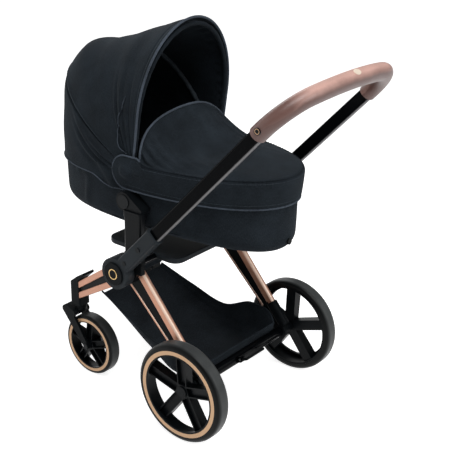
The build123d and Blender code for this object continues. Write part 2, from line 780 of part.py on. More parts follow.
def make_apron():
    shell = apron_form(0.0) - apron_form(apron_thick)
    size = 1200.0
    ahead = Pos(0, flap_y + size / 2, apron_top_z) * Box(size, size, size)
    shell -= ahead
    ring = oval_prism(apron_half_width, apron_half_length, apron_hem_z, tab_top_z)
    ring -= oval_prism(apron_half_width - apron_thick, apron_half_length - apron_thick, 0.0, size)
    run = tab_front_y - flap_y + 20.0
    rise = tab_top_z - apron_hem_z
    outline = Pos(tab_front_y - run / 2, apron_hem_z + rise / 2) * RectangleRounded(run, rise, 18.0)
    return shell + (ring & slab(outline, -300.0, 300.0))


# ---------------------------------------------------------------- canopy
def canopy_arch(y, half_width, spring_z, crown_z):
    """One cross-section of the canopy: upright sides under a half ellipse."""
    foot_z = canopy_hem_z - 30.0
    arch = EllipticalCenterArc((0, spring_z), half_width, crown_z - spring_z, 0, arc_size=180)
    sides = Polyline((-half_width, spring_z), (-half_width, foot_z), (half_width, foot_z), (half_width, spring_z))
    return Plane(origin=(0, y, 0), x_dir=(1, 0, 0), z_dir=(0, -1, 0)) * make_face(arch + sides)


# stations along the canopy from its mouth to its back: y, half width, height of the arch's
# springing and of its crown, the last two above the cot's rim
canopy_stations = [(10.0, 193.0, 202.0, 451.0), (135.0, 193.0, 195.0, 409.0), (219.0, 190.0, 190.0, 377.0),
                   (308.0, 180.0, 185.0, 350.0), (404.0, 150.0, 160.0, 327.0), (460.0, 112.0, 100.0, 275.0),
                   (496.0, 80.0, 20.0, 110.0)]


def canopy_form(inset):
    faces = []
    for y, half_width, spring, crown in canopy_stations:
        faces.append(canopy_arch(y, half_width - inset, cot_rim_z + spring, cot_rim_z + crown - inset))
    body = loft(faces)
    return body & oval_prism(canopy_half_width - inset, canopy_half_length - inset, canopy_hem_z - 2 * inset, 1300.0)


def beyond(lean):
    """Everything ahead of the leaning plane through the canopy's pivot; lean is from the vertical."""
    size = 1400.0
    block = Pos(0, size / 2, 0) * Box(size, size, 2 * size)
    return Pos(0, canopy_pivot_y, canopy_pivot_z) * Rot(-lean, 0, 0) * block


def make_canopy_cloths():
    """Cloth in front of and behind the middle bow."""
    shell = canopy_form(0.0) - canopy_form(canopy_thick)
    low = adapter_z + adapter_r + 6.0
    notch = Pos(0, canopy_pivot_y, low - 100.0) * Box(1000.0, 130.0, 200.0)
    shell = shell - notch - round_x(canopy_pivot_y, canopy_pivot_z, bow_eye_r, -300.0, 300.0)
    seam = 0.5
    shell = shell & beyond(-canopy_front_lean)
    rear = Pos(0, seam, 0) * beyond(canopy_mid_lean)
    front = Pos(0, -seam, 0) * beyond(canopy_mid_lean)
    return shell - front, shell & rear


def make_bow(x, rise, spring, lean):
    """Hoop in a leaning plane, with an eye at each foot for the pivot pin."""
    plane = Plane(origin=(0, canopy_pivot_y, canopy_pivot_z), x_dir=(1, 0, 0),
                  z_dir=(0, -cos(radians(lean)), sin(radians(lean))))
    legs = [Line((side * x, bow_eye_r - 3.0), (side * x, spring)) for side in (-1, 1)]
    arch = EllipticalCenterArc((0, spring), x, rise - spring, 0, arc_size=180)
    path = plane * Wire([legs[0].edge(), legs[1].edge(), arch.edge()])
    hoop = sweep(Plane(origin=path @ 0, z_dir=path % 0) * Circle(bow_r), path=path)
    for side in (-1, 1):
        low = side * x - bow_eye_half
        high = low + 2 * bow_eye_half
        hoop += round_x(canopy_pivot_y, canopy_pivot_z, bow_eye_r, low, high)
        hoop -= round_x(canopy_pivot_y, canopy_pivot_z, canopy_pin_r + running, low - 1, high + 1)
    return hoop


# ---------------------------------------------------------------- every piece
def main():
    os.makedirs("parts", exist_ok=True)
    make_rear_wheel()
    make_front_wheel()
    keep_pair("front_fork", make_fork())
    keep_pair("front_axle", make_front_axle())

    bars, web = front_leg_pieces()
    keep("caster_housings", both_sides(make_caster_housing(bars, web)))
    keep("hinge_housings", both_sides(make_hinge_housing(bars, web)))
    keep("front_legs", both_sides(bars))
    keep("front_leg_webs", both_sides(web))
    keep("basket_rod", make_basket_rod(bars, web))
    keep("basket", make_basket())
    keep("hinge_pins", both_sides(make_hinge_pin()))
    keep("hinge_covers", both_sides(make_hinge_cover()))
    keep("chassis_bridge", make_bridge())
    tubes = [bridge_tube(y, housing_inner_x + 10.0) for y in (bridge_tube_front_y, bridge_tube_rear_y)]
    keep("bridge_tubes", Compound([tube.solid() for tube in tubes]))
    keep_pair("adapter_post", make_post())

    bars, web = rear_leg_pieces()
    keep("rear_brackets", both_sides(make_rear_bracket(bars, web)))
    keep("rear_leg_lugs", both_sides(make_lug(bars, web)))
    keep_pair("rear_leg", bars)
    keep("rear_leg_webs", both_sides(web - make_lug(bars, ShapeList())))
    keep("rear_axle_beam", make_beam())
    keep("rear_axles", both_sides(rear_axle_bar()))
    keep("brake_pin", brake_pin_bar())
    keep("brake_pedal", make_brake_pedal())

    keep_pair("handle_socket", make_socket())
    keep("socket_screws", both_sides(socket_screw_bar()))
    keep_pair("height_button", make_button())
    keep_pair("handle_tube", make_tube())
    core, leather = make_grip()
    badge = make_badge()
    cap = make_end_cap()
    caps = both_sides(cap)
    keep("grip_core", core)
    keep("grip_leather", leather - badge - cap - mirrored(cap))
    keep("grip_badge", badge)
    keep("grip_end_caps", caps)

    tub_outside = tub_form(0.0, cot_rim_z)
    adapter = make_adapter(tub_outside)
    stud = Plane(origin=(0, cot_y - cot_half_length - 3.0, foot_stud_z), z_dir=(0, 1, 0)) * Circle(foot_stud_r)
    keep("cot_tub", make_tub())
    keep("cot_mattress", make_mattress())
    keep("cot_adapters", both_sides(adapter))
    keep_pair("cot_release", make_release())
    keep("cot_foot_stud", extrude(stud, 20.0) - tub_outside)
    keep("canopy_hinges", both_sides(make_canopy_hinge(adapter)))
    keep("cot_apron", make_apron())
    front_cloth, rear_cloth = make_canopy_cloths()
    keep("canopy_front_cloth", front_cloth)
    keep("canopy_rear_cloth", rear_cloth)
    keep("canopy_front_bow", make_bow(front_bow_x, front_bow_rise, front_bow_spring, -canopy_front_lean))
    keep("canopy_mid_bow", make_bow(mid_bow_x, mid_bow_rise, mid_bow_spring, canopy_mid_lean))


main()
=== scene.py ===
import bpy
import json
import numpy as np
from math import atan2, cos, pi, radians, sin
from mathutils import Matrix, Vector


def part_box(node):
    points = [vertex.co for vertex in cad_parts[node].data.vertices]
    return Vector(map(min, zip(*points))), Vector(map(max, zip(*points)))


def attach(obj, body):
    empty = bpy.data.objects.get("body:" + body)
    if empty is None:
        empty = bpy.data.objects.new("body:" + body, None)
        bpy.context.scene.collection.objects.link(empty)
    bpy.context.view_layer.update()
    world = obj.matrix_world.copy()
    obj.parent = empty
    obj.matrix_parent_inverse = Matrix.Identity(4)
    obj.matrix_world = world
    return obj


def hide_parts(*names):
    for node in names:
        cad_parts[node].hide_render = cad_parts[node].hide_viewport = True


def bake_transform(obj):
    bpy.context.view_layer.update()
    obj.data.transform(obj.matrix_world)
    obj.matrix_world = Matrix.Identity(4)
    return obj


# The looks of a pram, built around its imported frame.  Metres, in the frame's own axes:
# +Y is the way it travels, +Z is up, and the side nearest the camera is -X.

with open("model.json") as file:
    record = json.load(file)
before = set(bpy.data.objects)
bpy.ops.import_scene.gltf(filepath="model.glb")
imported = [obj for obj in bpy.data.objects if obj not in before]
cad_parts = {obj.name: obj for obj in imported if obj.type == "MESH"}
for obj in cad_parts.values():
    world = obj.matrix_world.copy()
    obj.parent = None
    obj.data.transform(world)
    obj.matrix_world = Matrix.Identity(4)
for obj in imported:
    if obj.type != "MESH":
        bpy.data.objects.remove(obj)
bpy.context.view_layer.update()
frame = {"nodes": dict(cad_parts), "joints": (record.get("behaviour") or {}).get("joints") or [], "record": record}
nodes = frame["nodes"]


# ---- small tools
def through(xs, ys, x):
    """Smooth curve through given points, with no overshoot between them."""
    xs, ys, x = np.asarray(xs, float), np.asarray(ys, float), np.asarray(x, float)
    step, rise = np.diff(xs), np.diff(ys)
    slope = rise / step
    tangent = np.zeros_like(ys)
    same = slope[1:] * slope[:-1] > 0
    tangent[1:-1][same] = 2 * slope[1:][same] * slope[:-1][same] / (slope[1:] + slope[:-1])[same]
    tangent[0], tangent[-1] = slope[0], slope[-1]
    i = np.clip(np.searchsorted(xs, x) - 1, 0, len(step) - 1)
    t = np.clip((x - xs[i]) / step[i], 0, 1)
    h = step[i]
    return ((2 * t**3 - 3 * t**2 + 1) * ys[i] + (t**3 - 2 * t**2 + t) * h * tangent[i]
            + (3 * t**2 - 2 * t**3) * ys[i + 1] + (t**3 - t**2) * h * tangent[i + 1])


def ease(t):
    """0 to 1, level at both ends."""
    t = np.clip(t, 0, 1)
    return t * t * (3 - 2 * t)


def hump(x, middle, half):
    """1 at middle, easing to 0 at half away from it."""
    return ease(1 - np.abs(np.asarray(x, float) - middle) / half)


def even(points, count):
    """The same line with count points at even distances."""
    points = np.asarray(points, float)
    run = distances(points)
    at = np.linspace(0, run[-1], count)
    return np.stack([np.interp(at, run, points[:, i]) for i in range(points.shape[1])], 1)


def superellipse(half_width, half_length, power, angle):
    """Points of a rounded oval; power 2 is an ellipse and more is squarer."""
    c, s = np.cos(angle), np.sin(angle)
    return (half_width * np.sign(c) * np.abs(c) ** (2 / power),
            half_length * np.sign(s) * np.abs(s) ** (2 / power))


def ripple(u, v, seed, scale):
    """Soft unevenness of cloth, -1 to 1, from a few slow waves."""
    rng = np.random.default_rng(seed)
    total = np.zeros(np.broadcast(u, v).shape)
    waves = 7
    for _ in range(waves):
        a, b, phase = rng.uniform(-1, 1), rng.uniform(-1, 1), rng.uniform(0, 2 * pi)
        total = total + np.sin((a * u + b * v) * 2 * pi / scale + phase)
    return total / (waves / 2)


def distances(line):
    """How far along a line each of its points lies."""
    return np.concatenate([[0], np.cumsum(np.linalg.norm(np.diff(line, axis=0), axis=1))])


def unit(lines):
    return lines / np.linalg.norm(lines, axis=-1, keepdims=True)


def level_line(x, y, z):
    """Points (x, y) at one height."""
    return np.stack([x, y, np.full_like(x, z)], 1)


def smooth_mesh(name, verts, faces):
    mesh = bpy.data.meshes.new(name)
    mesh.from_pydata(verts, [], faces)
    mesh.polygons.foreach_set("use_smooth", [True] * len(faces))
    return mesh


def link(mesh, name):
    piece = bpy.data.objects.new(name, mesh)
    bpy.context.scene.collection.objects.link(piece)
    return piece


def grid_piece(name, grid, closed=False, flip=False):
    """Mesh through rows of points.  Its UV map is the cloth's own distances, in metres."""
    grid = np.asarray(grid, float)
    rows, columns = grid.shape[:2]
    wide = columns if closed else columns - 1
    faces = []
    for i in range(rows - 1):
        for j in range(wide):
            k = (j + 1) % columns
            quad = (i * columns + j, i * columns + k, (i + 1) * columns + k, (i + 1) * columns + j)
            faces.append(quad[::-1] if flip else quad)
    mesh = smooth_mesh(name, grid.reshape(-1, 3).tolist(), faces)
    across = np.linalg.norm(np.diff(grid, axis=1), axis=2)
    along = np.linalg.norm(np.diff(grid, axis=0), axis=2)
    u = np.concatenate([np.zeros((rows, 1)), np.cumsum(across, 1)], 1)
    u = u - u[:, -1:] / 2
    v = np.concatenate([np.zeros((1, columns)), np.cumsum(along, 0)], 0)
    layer = mesh.uv_layers.new(name="cloth")
    closing = u[:, -1] + np.linalg.norm(grid[:, 0] - grid[:, -1], axis=1)
    for face in mesh.polygons:
        wraps = closed and {f % columns for f in face.vertices} == {0, columns - 1}
        for loop in face.loop_indices:
            i, j = divmod(mesh.loops[loop].vertex_index, columns)
            layer.data[loop].uv = (closing[i] if wraps and j == 0 else u[i, j], v[i, j])
    mesh.validate()
    return link(mesh, name)


def normals(grid, closed=False):
    """Unit normals of a grid of points."""
    if closed:
        wide = np.concatenate([grid[:, -1:], grid, grid[:, :1]], 1)
        du = (wide[:, 2:] - wide[:, :-2])
    else:
        du = np.gradient(grid, axis=1)
    dv = np.gradient(grid, axis=0)
    n = np.cross(du, dv)
    size = np.linalg.norm(n, axis=2, keepdims=True)
    return n / np.maximum(size, 1e-12)


def pipe(name, path, radius, closed=False, sides=10, flat=1.0, lean=None):
    """Round cord or hem along a path; flat below 1 makes it a strap that lies square to lean."""
    path = np.asarray(path, float)
    if closed:
        ahead, behind = np.roll(path, -1, 0), np.roll(path, 1, 0)
    else:
        ahead = np.concatenate([path[1:], [2 * path[-1] - path[-2]]])
        behind = np.concatenate([[2 * path[0] - path[1]], path[:-1]])
    along = unit(ahead - behind)
    if lean is None:
        side = np.cross(along[0], (0.31, 0.22, 0.93))      # any way that isn't along the path
        out = []
        for a in along:
            side = side - a * np.dot(side, a)
            side /= np.linalg.norm(side)
            out.append(side)
        side = np.array(out)
    else:
        lean = np.broadcast_to(np.asarray(lean, float), path.shape)
        side = unit(np.cross(along, lean))
    up = np.cross(side, along)
    angle = np.linspace(0, 2 * pi, sides, endpoint=False)
    radius = np.broadcast_to(radius, (len(path),))[:, None, None]
    ring = (side[:, None] * np.cos(angle)[None, :, None]
            + up[:, None] * np.sin(angle)[None, :, None] * flat)
    grid = path[:, None] + ring * radius
    if closed:
        grid = np.concatenate([grid, grid[:1]])
    piece = grid_piece(name, grid, closed=True)
    if not closed:
        mesh = piece.data
        ends = [list(range(sides))[::-1], [len(grid) * sides - sides + i for i in range(sides)]]
        verts = [v.co[:] for v in mesh.vertices]
        faces = [p.vertices[:] for p in mesh.polygons] + ends
        capped = smooth_mesh(name, verts, faces)
        uv = capped.uv_layers.new(name="cloth")
        old = mesh.uv_layers["cloth"]
        for loop in range(len(mesh.loops)):
            uv.data[loop].uv = old.data[loop].uv
        piece.data = capped
        bpy.data.meshes.remove(mesh)
    weld(piece)
    return piece


def turned_x(name, middle, profile, segments=64):
    """Closed ring turned about a line along X through middle; profile is (x, radius) points."""
    turn = np.linspace(0, 2 * pi, segments, endpoint=False)
    rows = []
    for x, r in list(profile) + [profile[0]]:
        rows.append(np.stack([np.full(segments, x), middle[1] + r * np.cos(turn),
                              middle[2] + r * np.sin(turn)], 1))
    piece = grid_piece(name, np.array(rows), closed=True)
    weld(piece)
    return piece


def soften(piece, width):
    """Breaks the sharp edges of a CAD piece, as a mould does."""
    weld(piece)
    modifier = piece.modifiers.new("edges", "BEVEL")
    modifier.width = width
    modifier.segments = 2
    modifier.limit_method = "ANGLE"
    modifier.angle_limit = radians(38)
    modifier.harden_normals = True


def weld(piece):
    """Joins points that lie at one place."""
    modifier = piece.modifiers.new("join", "WELD")
    modifier.merge_threshold = 1e-6


def thicken(piece, thickness, offset, rim=True):
    """Gives a cloth its thickness: offset -1 adds it below the outer face.  A cloth whose edges
    are all bound or butted needs no rim."""
    modifier = piece.modifiers.new("cloth", "SOLIDIFY")
    modifier.thickness = thickness
    modifier.offset = offset
    modifier.use_rim = rim


def paint(piece, material):
    piece.data.materials.clear()
    piece.data.materials.append(material)
    return piece


# ---- materials
class Shader:
    """Short way to write a node material; values are the surface's sockets, _ for a space."""

    def __init__(self, name, **values):
        self.material = bpy.data.materials.new(name)
        self.material.use_nodes = True
        self.tree = self.material.node_tree
        self.surface = self.tree.nodes["Principled BSDF"]
        for key, value in values.items():
            self.surface.inputs[key.replace("_", " ")].default_value = value

    def add(self, kind, inputs=None, **settings):
        node = self.tree.nodes.new(kind)
        for key, value in settings.items():
            setattr(node, key, value)
        for key, value in (inputs or {}).items():
            self.give(node.inputs[key], value)
        return node

    def give(self, socket, value):
        if isinstance(value, bpy.types.NodeSocket):
            self.tree.links.new(value, socket)
        else:
            socket.default_value = value

    def finished(self, colour, roughness, normal):
        """The material, with what varies over its surface."""
        for key, value in (("Base Color", colour), ("Roughness", roughness), ("Normal", normal)):
            self.give(self.surface.inputs[key], value)
        return self.material

    def mapped(self, where, scale, turn=0.0):
        """Coordinates scaled by one number or three, and turned about Z."""
        size = scale if hasattr(scale, "__len__") else (scale,) * 3
        return self.add("ShaderNodeMapping", {"Vector": where, "Scale": size,
                                              "Rotation": (0, 0, turn)}).outputs["Vector"]

    def place(self, scale):
        """The piece's own coordinates, scaled."""
        return self.mapped(self.add("ShaderNodeTexCoord").outputs["Object"], scale)

    def cloth_place(self, scale, turn=0.0):
        """Distances along the cloth, scaled."""
        return self.mapped(self.add("ShaderNodeUVMap", uv_map="cloth").outputs["UV"], scale, turn)

    def noise(self, place, detail, rough, scale=1.0):
        return self.add("ShaderNodeTexNoise", {"Vector": place, "Scale": scale, "Detail": detail,
                                               "Roughness": rough}).outputs["Fac"]

    def wave(self, place, direction, distortion, detail):
        return self.add("ShaderNodeTexWave",
                        {"Vector": place, "Scale": 1.0, "Distortion": distortion, "Detail": detail},
                        bands_direction=direction).outputs["Fac"]

    def math(self, what, a, b=0.0):
        return self.add("ShaderNodeMath", {0: a, 1: b}, operation=what).outputs[0]

    def weigh(self, a, share_a, b, share_b):
        """Sum of two values, each times its share."""
        return self.math("ADD", self.math("MULTIPLY", a, share_a), self.math("MULTIPLY", b, share_b))

    def span(self, value, low, high, to_low, to_high):
        return self.add("ShaderNodeMapRange", {"Value": value, "From Min": low, "From Max": high,
                                               "To Min": to_low, "To Max": to_high}).outputs[0]

    def facing(self, direction, low, high):
        """0 to 1 as the surface turns to face a direction, in the piece's own axes."""
        normal = self.add("ShaderNodeTexCoord").outputs["Normal"]
        toward = self.add("ShaderNodeVectorMath", {0: normal, 1: direction}, operation="DOT_PRODUCT")
        return self.span(toward.outputs["Value"], low, high, 0.0, 1.0)

    def ramp(self, value, *stops):
        node = self.add("ShaderNodeValToRGB", {"Fac": value})
        while len(node.color_ramp.elements) < len(stops):
            node.color_ramp.elements.new(0.5)
        for element, (at, colour) in zip(node.color_ramp.elements, stops):
            element.position = at
            element.color = (*colour, 1)
        return node.outputs["Color"]

    def mottled(self, value, colour, dark, pale):
        """Colour that a slow noise darkens and pales by these factors."""
        return self.ramp(value, (0.3, tint(colour, dark)), (0.7, tint(colour, pale)))

    def mix(self, share, first, second):
        """Colour from first to second as share goes from 0 to 1."""
        node = self.add("ShaderNodeMix", {"Factor": share, 6: first, 7: second}, data_type="RGBA")
        return node.outputs[2]

    def bump(self, height, distance, strength=1.0, under=None):
        node = self.add("ShaderNodeBump",
                        {"Height": height, "Distance": distance, "Strength": strength})
        if under is not None:
            self.give(node.inputs["Normal"], under)
        return node.outputs["Normal"]


def tint(colour, factor):
    return tuple(min(1.0, c * factor) for c in colour)


band_share = 3.14       # spreads a wave texture so that its bands lie about one pitch apart


def woven(name, colour, pitch=0.0011, sheen=0.06, roughness=0.86):
    """Twill with a slightly mottled yarn; colour is linear, pitch is the weave's."""
    s = Shader(name, Roughness=roughness, Sheen_Weight=sheen, Sheen_Roughness=0.45,
               Sheen_Tint=(0.55, 0.62, 0.70, 1), Specular_IOR_Level=0.06)
    diagonal = s.wave(s.cloth_place(1 / pitch / band_share, radians(35)), "X", 0.6, 1.0)
    warp = s.wave(s.cloth_place(1 / pitch / 1.6), "Y", 0.3, 1.0)
    yarn = s.math("MULTIPLY", diagonal, warp)
    melange = s.noise(s.cloth_place((520, 170, 1)), 5.0, 0.72)
    slow = s.noise(s.place(11.0), 4.0, 0.6)
    mixed = s.weigh(melange, 0.62, slow, 0.38)
    shade = s.math("ADD", mixed, s.math("MULTIPLY", yarn, 0.12))
    under = s.bump(slow, 0.0012, 0.35)
    weave = s.math("ADD", yarn, s.math("MULTIPLY", melange, 0.5))
    colouring = s.ramp(shade, (0.42, tint(colour, 0.56)), (0.53, colour), (0.65, tint(colour, 1.60)))
    rough = s.span(slow, 0.3, 0.7, roughness - 0.05, roughness + 0.05)
    normal = s.bump(weave, 0.00016, 0.8, under)
    return s.finished(colouring, rough, normal)


def moulded(name, colour, roughness=0.42, grain=0.00008, specular=0.16):
    """Moulded plastic with a fine spark-eroded grain."""
    s = Shader(name, Roughness=roughness, Specular_IOR_Level=specular)
    fine = s.noise(s.place(900.0), 2.0, 0.6)
    slow = s.noise(s.place(14.0), 3.0, 0.5)
    colouring = s.mottled(slow, colour, 0.86, 1.14)
    rough = s.span(s.weigh(fine, 0.5, slow, 0.5), 0.3, 0.7, roughness - 0.05, roughness + 0.07)
    normal = s.bump(fine, grain, 0.7)
    return s.finished(colouring, rough, normal)


def metal(name, colour, roughness=0.3, brushed=(60, 900, 900)):
    """Bare metal; its grain runs along the axis where brushed is lowest."""
    s = Shader(name, Metallic=1.0, Roughness=roughness)
    lines = s.noise(s.place(brushed), 3.0, 0.6)
    slow = s.noise(s.place(11.0), 3.0, 0.5)
    colouring = s.mottled(slow, colour, 0.93, 1.05)
    rough = s.span(s.weigh(lines, 0.6, slow, 0.4), 0.35, 0.65, roughness - 0.05, roughness + 0.05)
    normal = s.bump(lines, 0.00003, 0.6)
    return s.finished(colouring, rough, normal)


def satin(name, colour):
    """Metallic paint, rather flat, with a faint orange peel."""
    s = Shader(name, Metallic=0.25, Roughness=0.48)
    peel = s.noise(s.place(420.0), 2.0, 0.5)
    slow = s.noise(s.place(16.0), 3.0, 0.5)
    colouring = s.mottled(slow, colour, 0.94, 1.06)
    rough = s.span(peel, 0.3, 0.7, 0.42, 0.54)
    normal = s.bump(peel, 0.00003, 0.5)
    return s.finished(colouring, rough, normal)


def leather(name, colour, painted_shade):
    """Smooth grained leather, darker in its pores; shade is painted underneath and towards both ends of the grip.
    """
    s = Shader(name, Roughness=0.42, Coat_Weight=0.12, Coat_Roughness=0.3)
    place = s.place(420.0)
    cells = s.add("ShaderNodeTexVoronoi", {"Vector": place, "Scale": 1.0, "Randomness": 0.9},
                  feature="DISTANCE_TO_EDGE").outputs["Distance"]
    pores = s.span(cells, 0.0, 0.14, 0.0, 1.0)
    fine = s.noise(place, 3.0, 0.6, scale=2.2)
    slow = s.noise(s.place(16.0), 4.0, 0.55)
    shade = s.weigh(pores, 0.22, slow, 0.78)
    unshaded = s.ramp(shade, (0.30, tint(colour, 0.86)), (0.55, colour), (0.78, tint(colour, 1.08)))
    where = s.add("ShaderNodeTexCoord")
    upward = s.add("ShaderNodeSeparateXYZ", {"Vector": where.outputs["Normal"]}).outputs["Z"]
    across = s.add("ShaderNodeSeparateXYZ", {"Vector": where.outputs["Object"]}).outputs["X"]
    # painted shade: darker on faces that turn downward
    under = s.span(s.math("ADD", upward, s.math("MULTIPLY", slow, 0.5)), 0.15, 1.05, 1.0, 0.0)
    # painted shade: darker towards both ends of the grip
    ends = s.span(s.math("ABSOLUTE", across), 0.168, 0.226, 0.0, 0.95)
    colouring = s.mix(s.math("MAXIMUM", under, ends), unshaded, (*painted_shade, 1))
    rough = s.span(slow, 0.3, 0.7, 0.36, 0.50)
    normal = s.bump(s.math("ADD", pores, s.math("MULTIPLY", fine, 0.3)), 0.00012, 0.55)
    return s.finished(colouring, rough, normal)


def anodised(name, colour, painted_highlight):
    """Satin anodised tube.  The long soft highlight of its rounded rear corner is painted into its colour."""
    s = Shader(name, Metallic=0.55, Roughness=0.40)
    lines = s.noise(s.place((60, 500, 500)), 3.0, 0.6)
    slow = s.noise(s.place(11.0), 3.0, 0.5)
    # painted highlight on faces turned this way
    share = s.facing((-0.62, -0.62, 0.48), 0.72, 0.99)
    colouring = s.mix(share, s.mottled(slow, colour, 0.93, 1.06), (*painted_highlight, 1))
    rough = s.span(lines, 0.35, 0.65, 0.34, 0.46)
    normal = s.bump(lines, 0.00002, 0.4)
    return s.finished(colouring, rough, normal)


def enamel(name, colour, painted_highlight):
    """Black tube.  The bright line along its lower, rearward edge is a highlight painted into its colour."""
    s = Shader(name, Roughness=0.22, Specular_IOR_Level=0.03)
    peel = s.noise(s.place(300.0), 2.0, 0.5)
    # painted highlight on faces turned this way
    share = s.facing((-0.40, -0.66, -0.635), 0.80, 0.97)
    colouring = s.mix(share, (*colour, 1), (*painted_highlight, 1))
    rough = s.span(peel, 0.3, 0.7, 0.18, 0.28)
    normal = s.bump(peel, 0.00002, 0.4)
    return s.finished(colouring, rough, normal)


def rubber(name):
    """Tyre rubber: glossy black side walls, and a tread painted paler to stand in for the light it catches, with
    fine rings round it.
    """
    side_wall = (0.0030, 0.0034, 0.0036, 1)
    tread_lit_dark, tread_lit_pale = (0.040, 0.0425, 0.0430), (0.060, 0.0635, 0.0640)
    ring_pitch = 0.0044
    s = Shader(name, Roughness=0.38, Specular_IOR_Level=0.10)
    rings = s.wave(s.place((1 / ring_pitch / band_share, 0, 0)), "X", 0.0, 0.0)
    fine = s.noise(s.place(700.0), 2.0, 0.6)
    slow = s.noise(s.place(18.0), 3.0, 0.6)
    normal = s.add("ShaderNodeTexCoord").outputs["Normal"]
    sideways = s.add("ShaderNodeSeparateXYZ", {"Vector": normal}).outputs["X"]
    # painted light: the tread, whose faces do not turn sideways, is painted paler than the side walls
    tread = s.span(s.math("ABSOLUTE", sideways), 0.15, 0.75, 1.0, 0.0)
    under = s.bump(rings, 0.00035, 0.35)
    colouring = s.mix(tread, side_wall, s.ramp(slow, (0.3, tread_lit_dark), (0.7, tread_lit_pale)))
    rough = s.span(s.weigh(fine, 0.4, slow, 0.6), 0.3, 0.7, 0.28, 0.44)
    normal = s.bump(fine, 0.00006, 0.6, under)
    return s.finished(colouring, rough, normal)


fabric = woven("slate_twill", (0.0140, 0.0184, 0.0232))
fabric_dark = woven("dark_lining", (0.0085, 0.0115, 0.0150), pitch=0.0014, sheen=0.05)
fabric_basket = woven("basket_cloth", (0.0160, 0.0202, 0.0250), pitch=0.0016, roughness=0.8)
strap_cloth = woven("sleeve_cloth", (0.034, 0.042, 0.050), pitch=0.0012)
piping_cloth = woven("piping_cloth", (0.052, 0.064, 0.082), pitch=0.0009, sheen=0.2)
thread = moulded("stitch_thread", (0.060, 0.074, 0.090), roughness=0.7)
mattress_cloth = woven("mattress_cloth", (0.42, 0.43, 0.43), pitch=0.0016, sheen=0.15)
# the last colour is the painted highlight
gold = anodised("rose_gold", (0.52, 0.255, 0.165), (0.98, 0.74, 0.60))
brass = metal("brass", (0.70, 0.47, 0.20), roughness=0.3)
badge_plate = satin("badge_plate", (0.78, 0.66, 0.54))
copper = satin("copper_ring", (0.60, 0.375, 0.215))
# the last colour is the painted highlight
tube_paint = enamel("black_enamel", (0.0016, 0.0020, 0.0026), (0.26, 0.255, 0.26))
plastic = moulded("black_plastic", (0.0040, 0.0051, 0.0060), roughness=0.42, specular=0.05)
grey_plastic = moulded("grey_plastic", (0.0205, 0.0250, 0.0290), roughness=0.46, specular=0.08)
rim_plastic = moulded("rim_plastic", (0.0036, 0.0046, 0.0056), roughness=0.34, grain=0.00003,
                      specular=0.08)
button_plastic = moulded("button_plastic", (0.0065, 0.0078, 0.0088), roughness=0.45, specular=0.12)
steel = metal("steel", (0.20, 0.205, 0.21), roughness=0.36)
silver = metal("silver", (0.30, 0.305, 0.31), roughness=0.30, brushed=(500, 500, 500))
# the last colour is the shade painted under and at the ends of the grip
tan = leather("tan_leather", (0.54, 0.325, 0.275), (0.105, 0.046, 0.036))
tyre_rubber = rubber("tyre_rubber")

by_slot = {"rubber_tyre": tyre_rubber, "ring_copper": copper, "rim_plastic": rim_plastic,
           "rose_gold": gold, "gloss_black": tube_paint, "black_plastic": plastic,
           "grey_plastic": grey_plastic, "steel": steel, "silver": silver,
           "dark_button": button_plastic, "black_fabric": fabric, "lining_fabric": mattress_cloth,
           "tan_leather": tan, "bow_plastic": plastic}
slot_of = {part["node"]: part["material_slot"] for part in frame["record"]["subparts"]}
for name, node in nodes.items():
    paint(node, by_slot[slot_of[name]])

# pieces whose look differs from the rest of their slot
for material, names in (
        (plastic, ("hinge_covers",)),
        (grey_plastic, ("chassis_bridge",)),
        (badge_plate, ("grip_badge",)),
        (button_plastic, ("socket_screws", "front_axle_left", "front_axle_right",
                          "height_button_left", "height_button_right")),
        (rim_plastic, ("adapter_post_left", "adapter_post_right", "cot_adapters"))):
    for name in names:
        paint(nodes[name], material)

# width of the broken edges
for width, names in (
        (0.0012, ("handle_socket_left", "handle_socket_right", "front_fork_left", "front_fork_right")),
        (0.0010, ("hinge_housings", "caster_housings", "rear_brackets", "rear_leg_lugs",
                  "cot_adapters", "brake_pedal", "rear_axle_beam")),
        (0.0008, ("adapter_post_left", "adapter_post_right")),
        (0.0006, ("canopy_hinges",)),
        (0.0004, ("front_leg_webs",))):
    for name in names:
        soften(nodes[name], width)


# ---- places taken from the frame
tub_low, tub_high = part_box("cot_tub")
cot_y = (tub_low.y + tub_high.y) / 2
tub_half_length = (tub_high.y - tub_low.y) / 2
tub_half_width = tub_high.x
rim_z = tub_high.z
floor_arch = 0.020
floor_z = tub_low.z + floor_arch
apron_low, apron_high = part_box("cot_apron")
hem_z = apron_low.z
apron_half_width = apron_high.x
foot_half_length = cot_y - apron_low.y

joints = {joint["name"]: joint for joint in frame["joints"]}
pivot_y, pivot_z = joints["canopy_fold"]["pos_m"][1:]
mid_bow_top = max((v.co for v in nodes["canopy_mid_bow"].data.vertices), key=lambda v: v.z)
mid_lean = atan2(mid_bow_top.y - pivot_y, mid_bow_top.z - pivot_z)
front_bow_top = max((v.co for v in nodes["canopy_front_bow"].data.vertices), key=lambda v: v.z)
front_lean = atan2(front_bow_top.y - pivot_y, front_bow_top.z - pivot_z)


# ---- canopy
fan_y, fan_z = pivot_y - 0.003, pivot_z - 0.010      # where the cloth's pleats meet
canopy_half_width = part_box("canopy_front_cloth")[1].x - 0.001
mouth, seam, back = radians(-7.65), radians(60.5), radians(90)

# the cloth's arches, one for each angle from the upright: height at the middle, share of it
# that is straight, and roundness of the rest
arch_angle = np.radians([-7.65, 8, 22, 36, 48, 60, 75, 90])
arch_rise = [0.408, 0.373, 0.364, 0.383, 0.432, 0.442, 0.420, 0.411]
arch_straight = [0.40, 0.30, 0.28, 0.27, 0.24, 0.20, 0.10, 0.0]
arch_power = [2.0, 2.0, 2.0, 2.0, 2.0, 2.05, 2.12, 2.2]


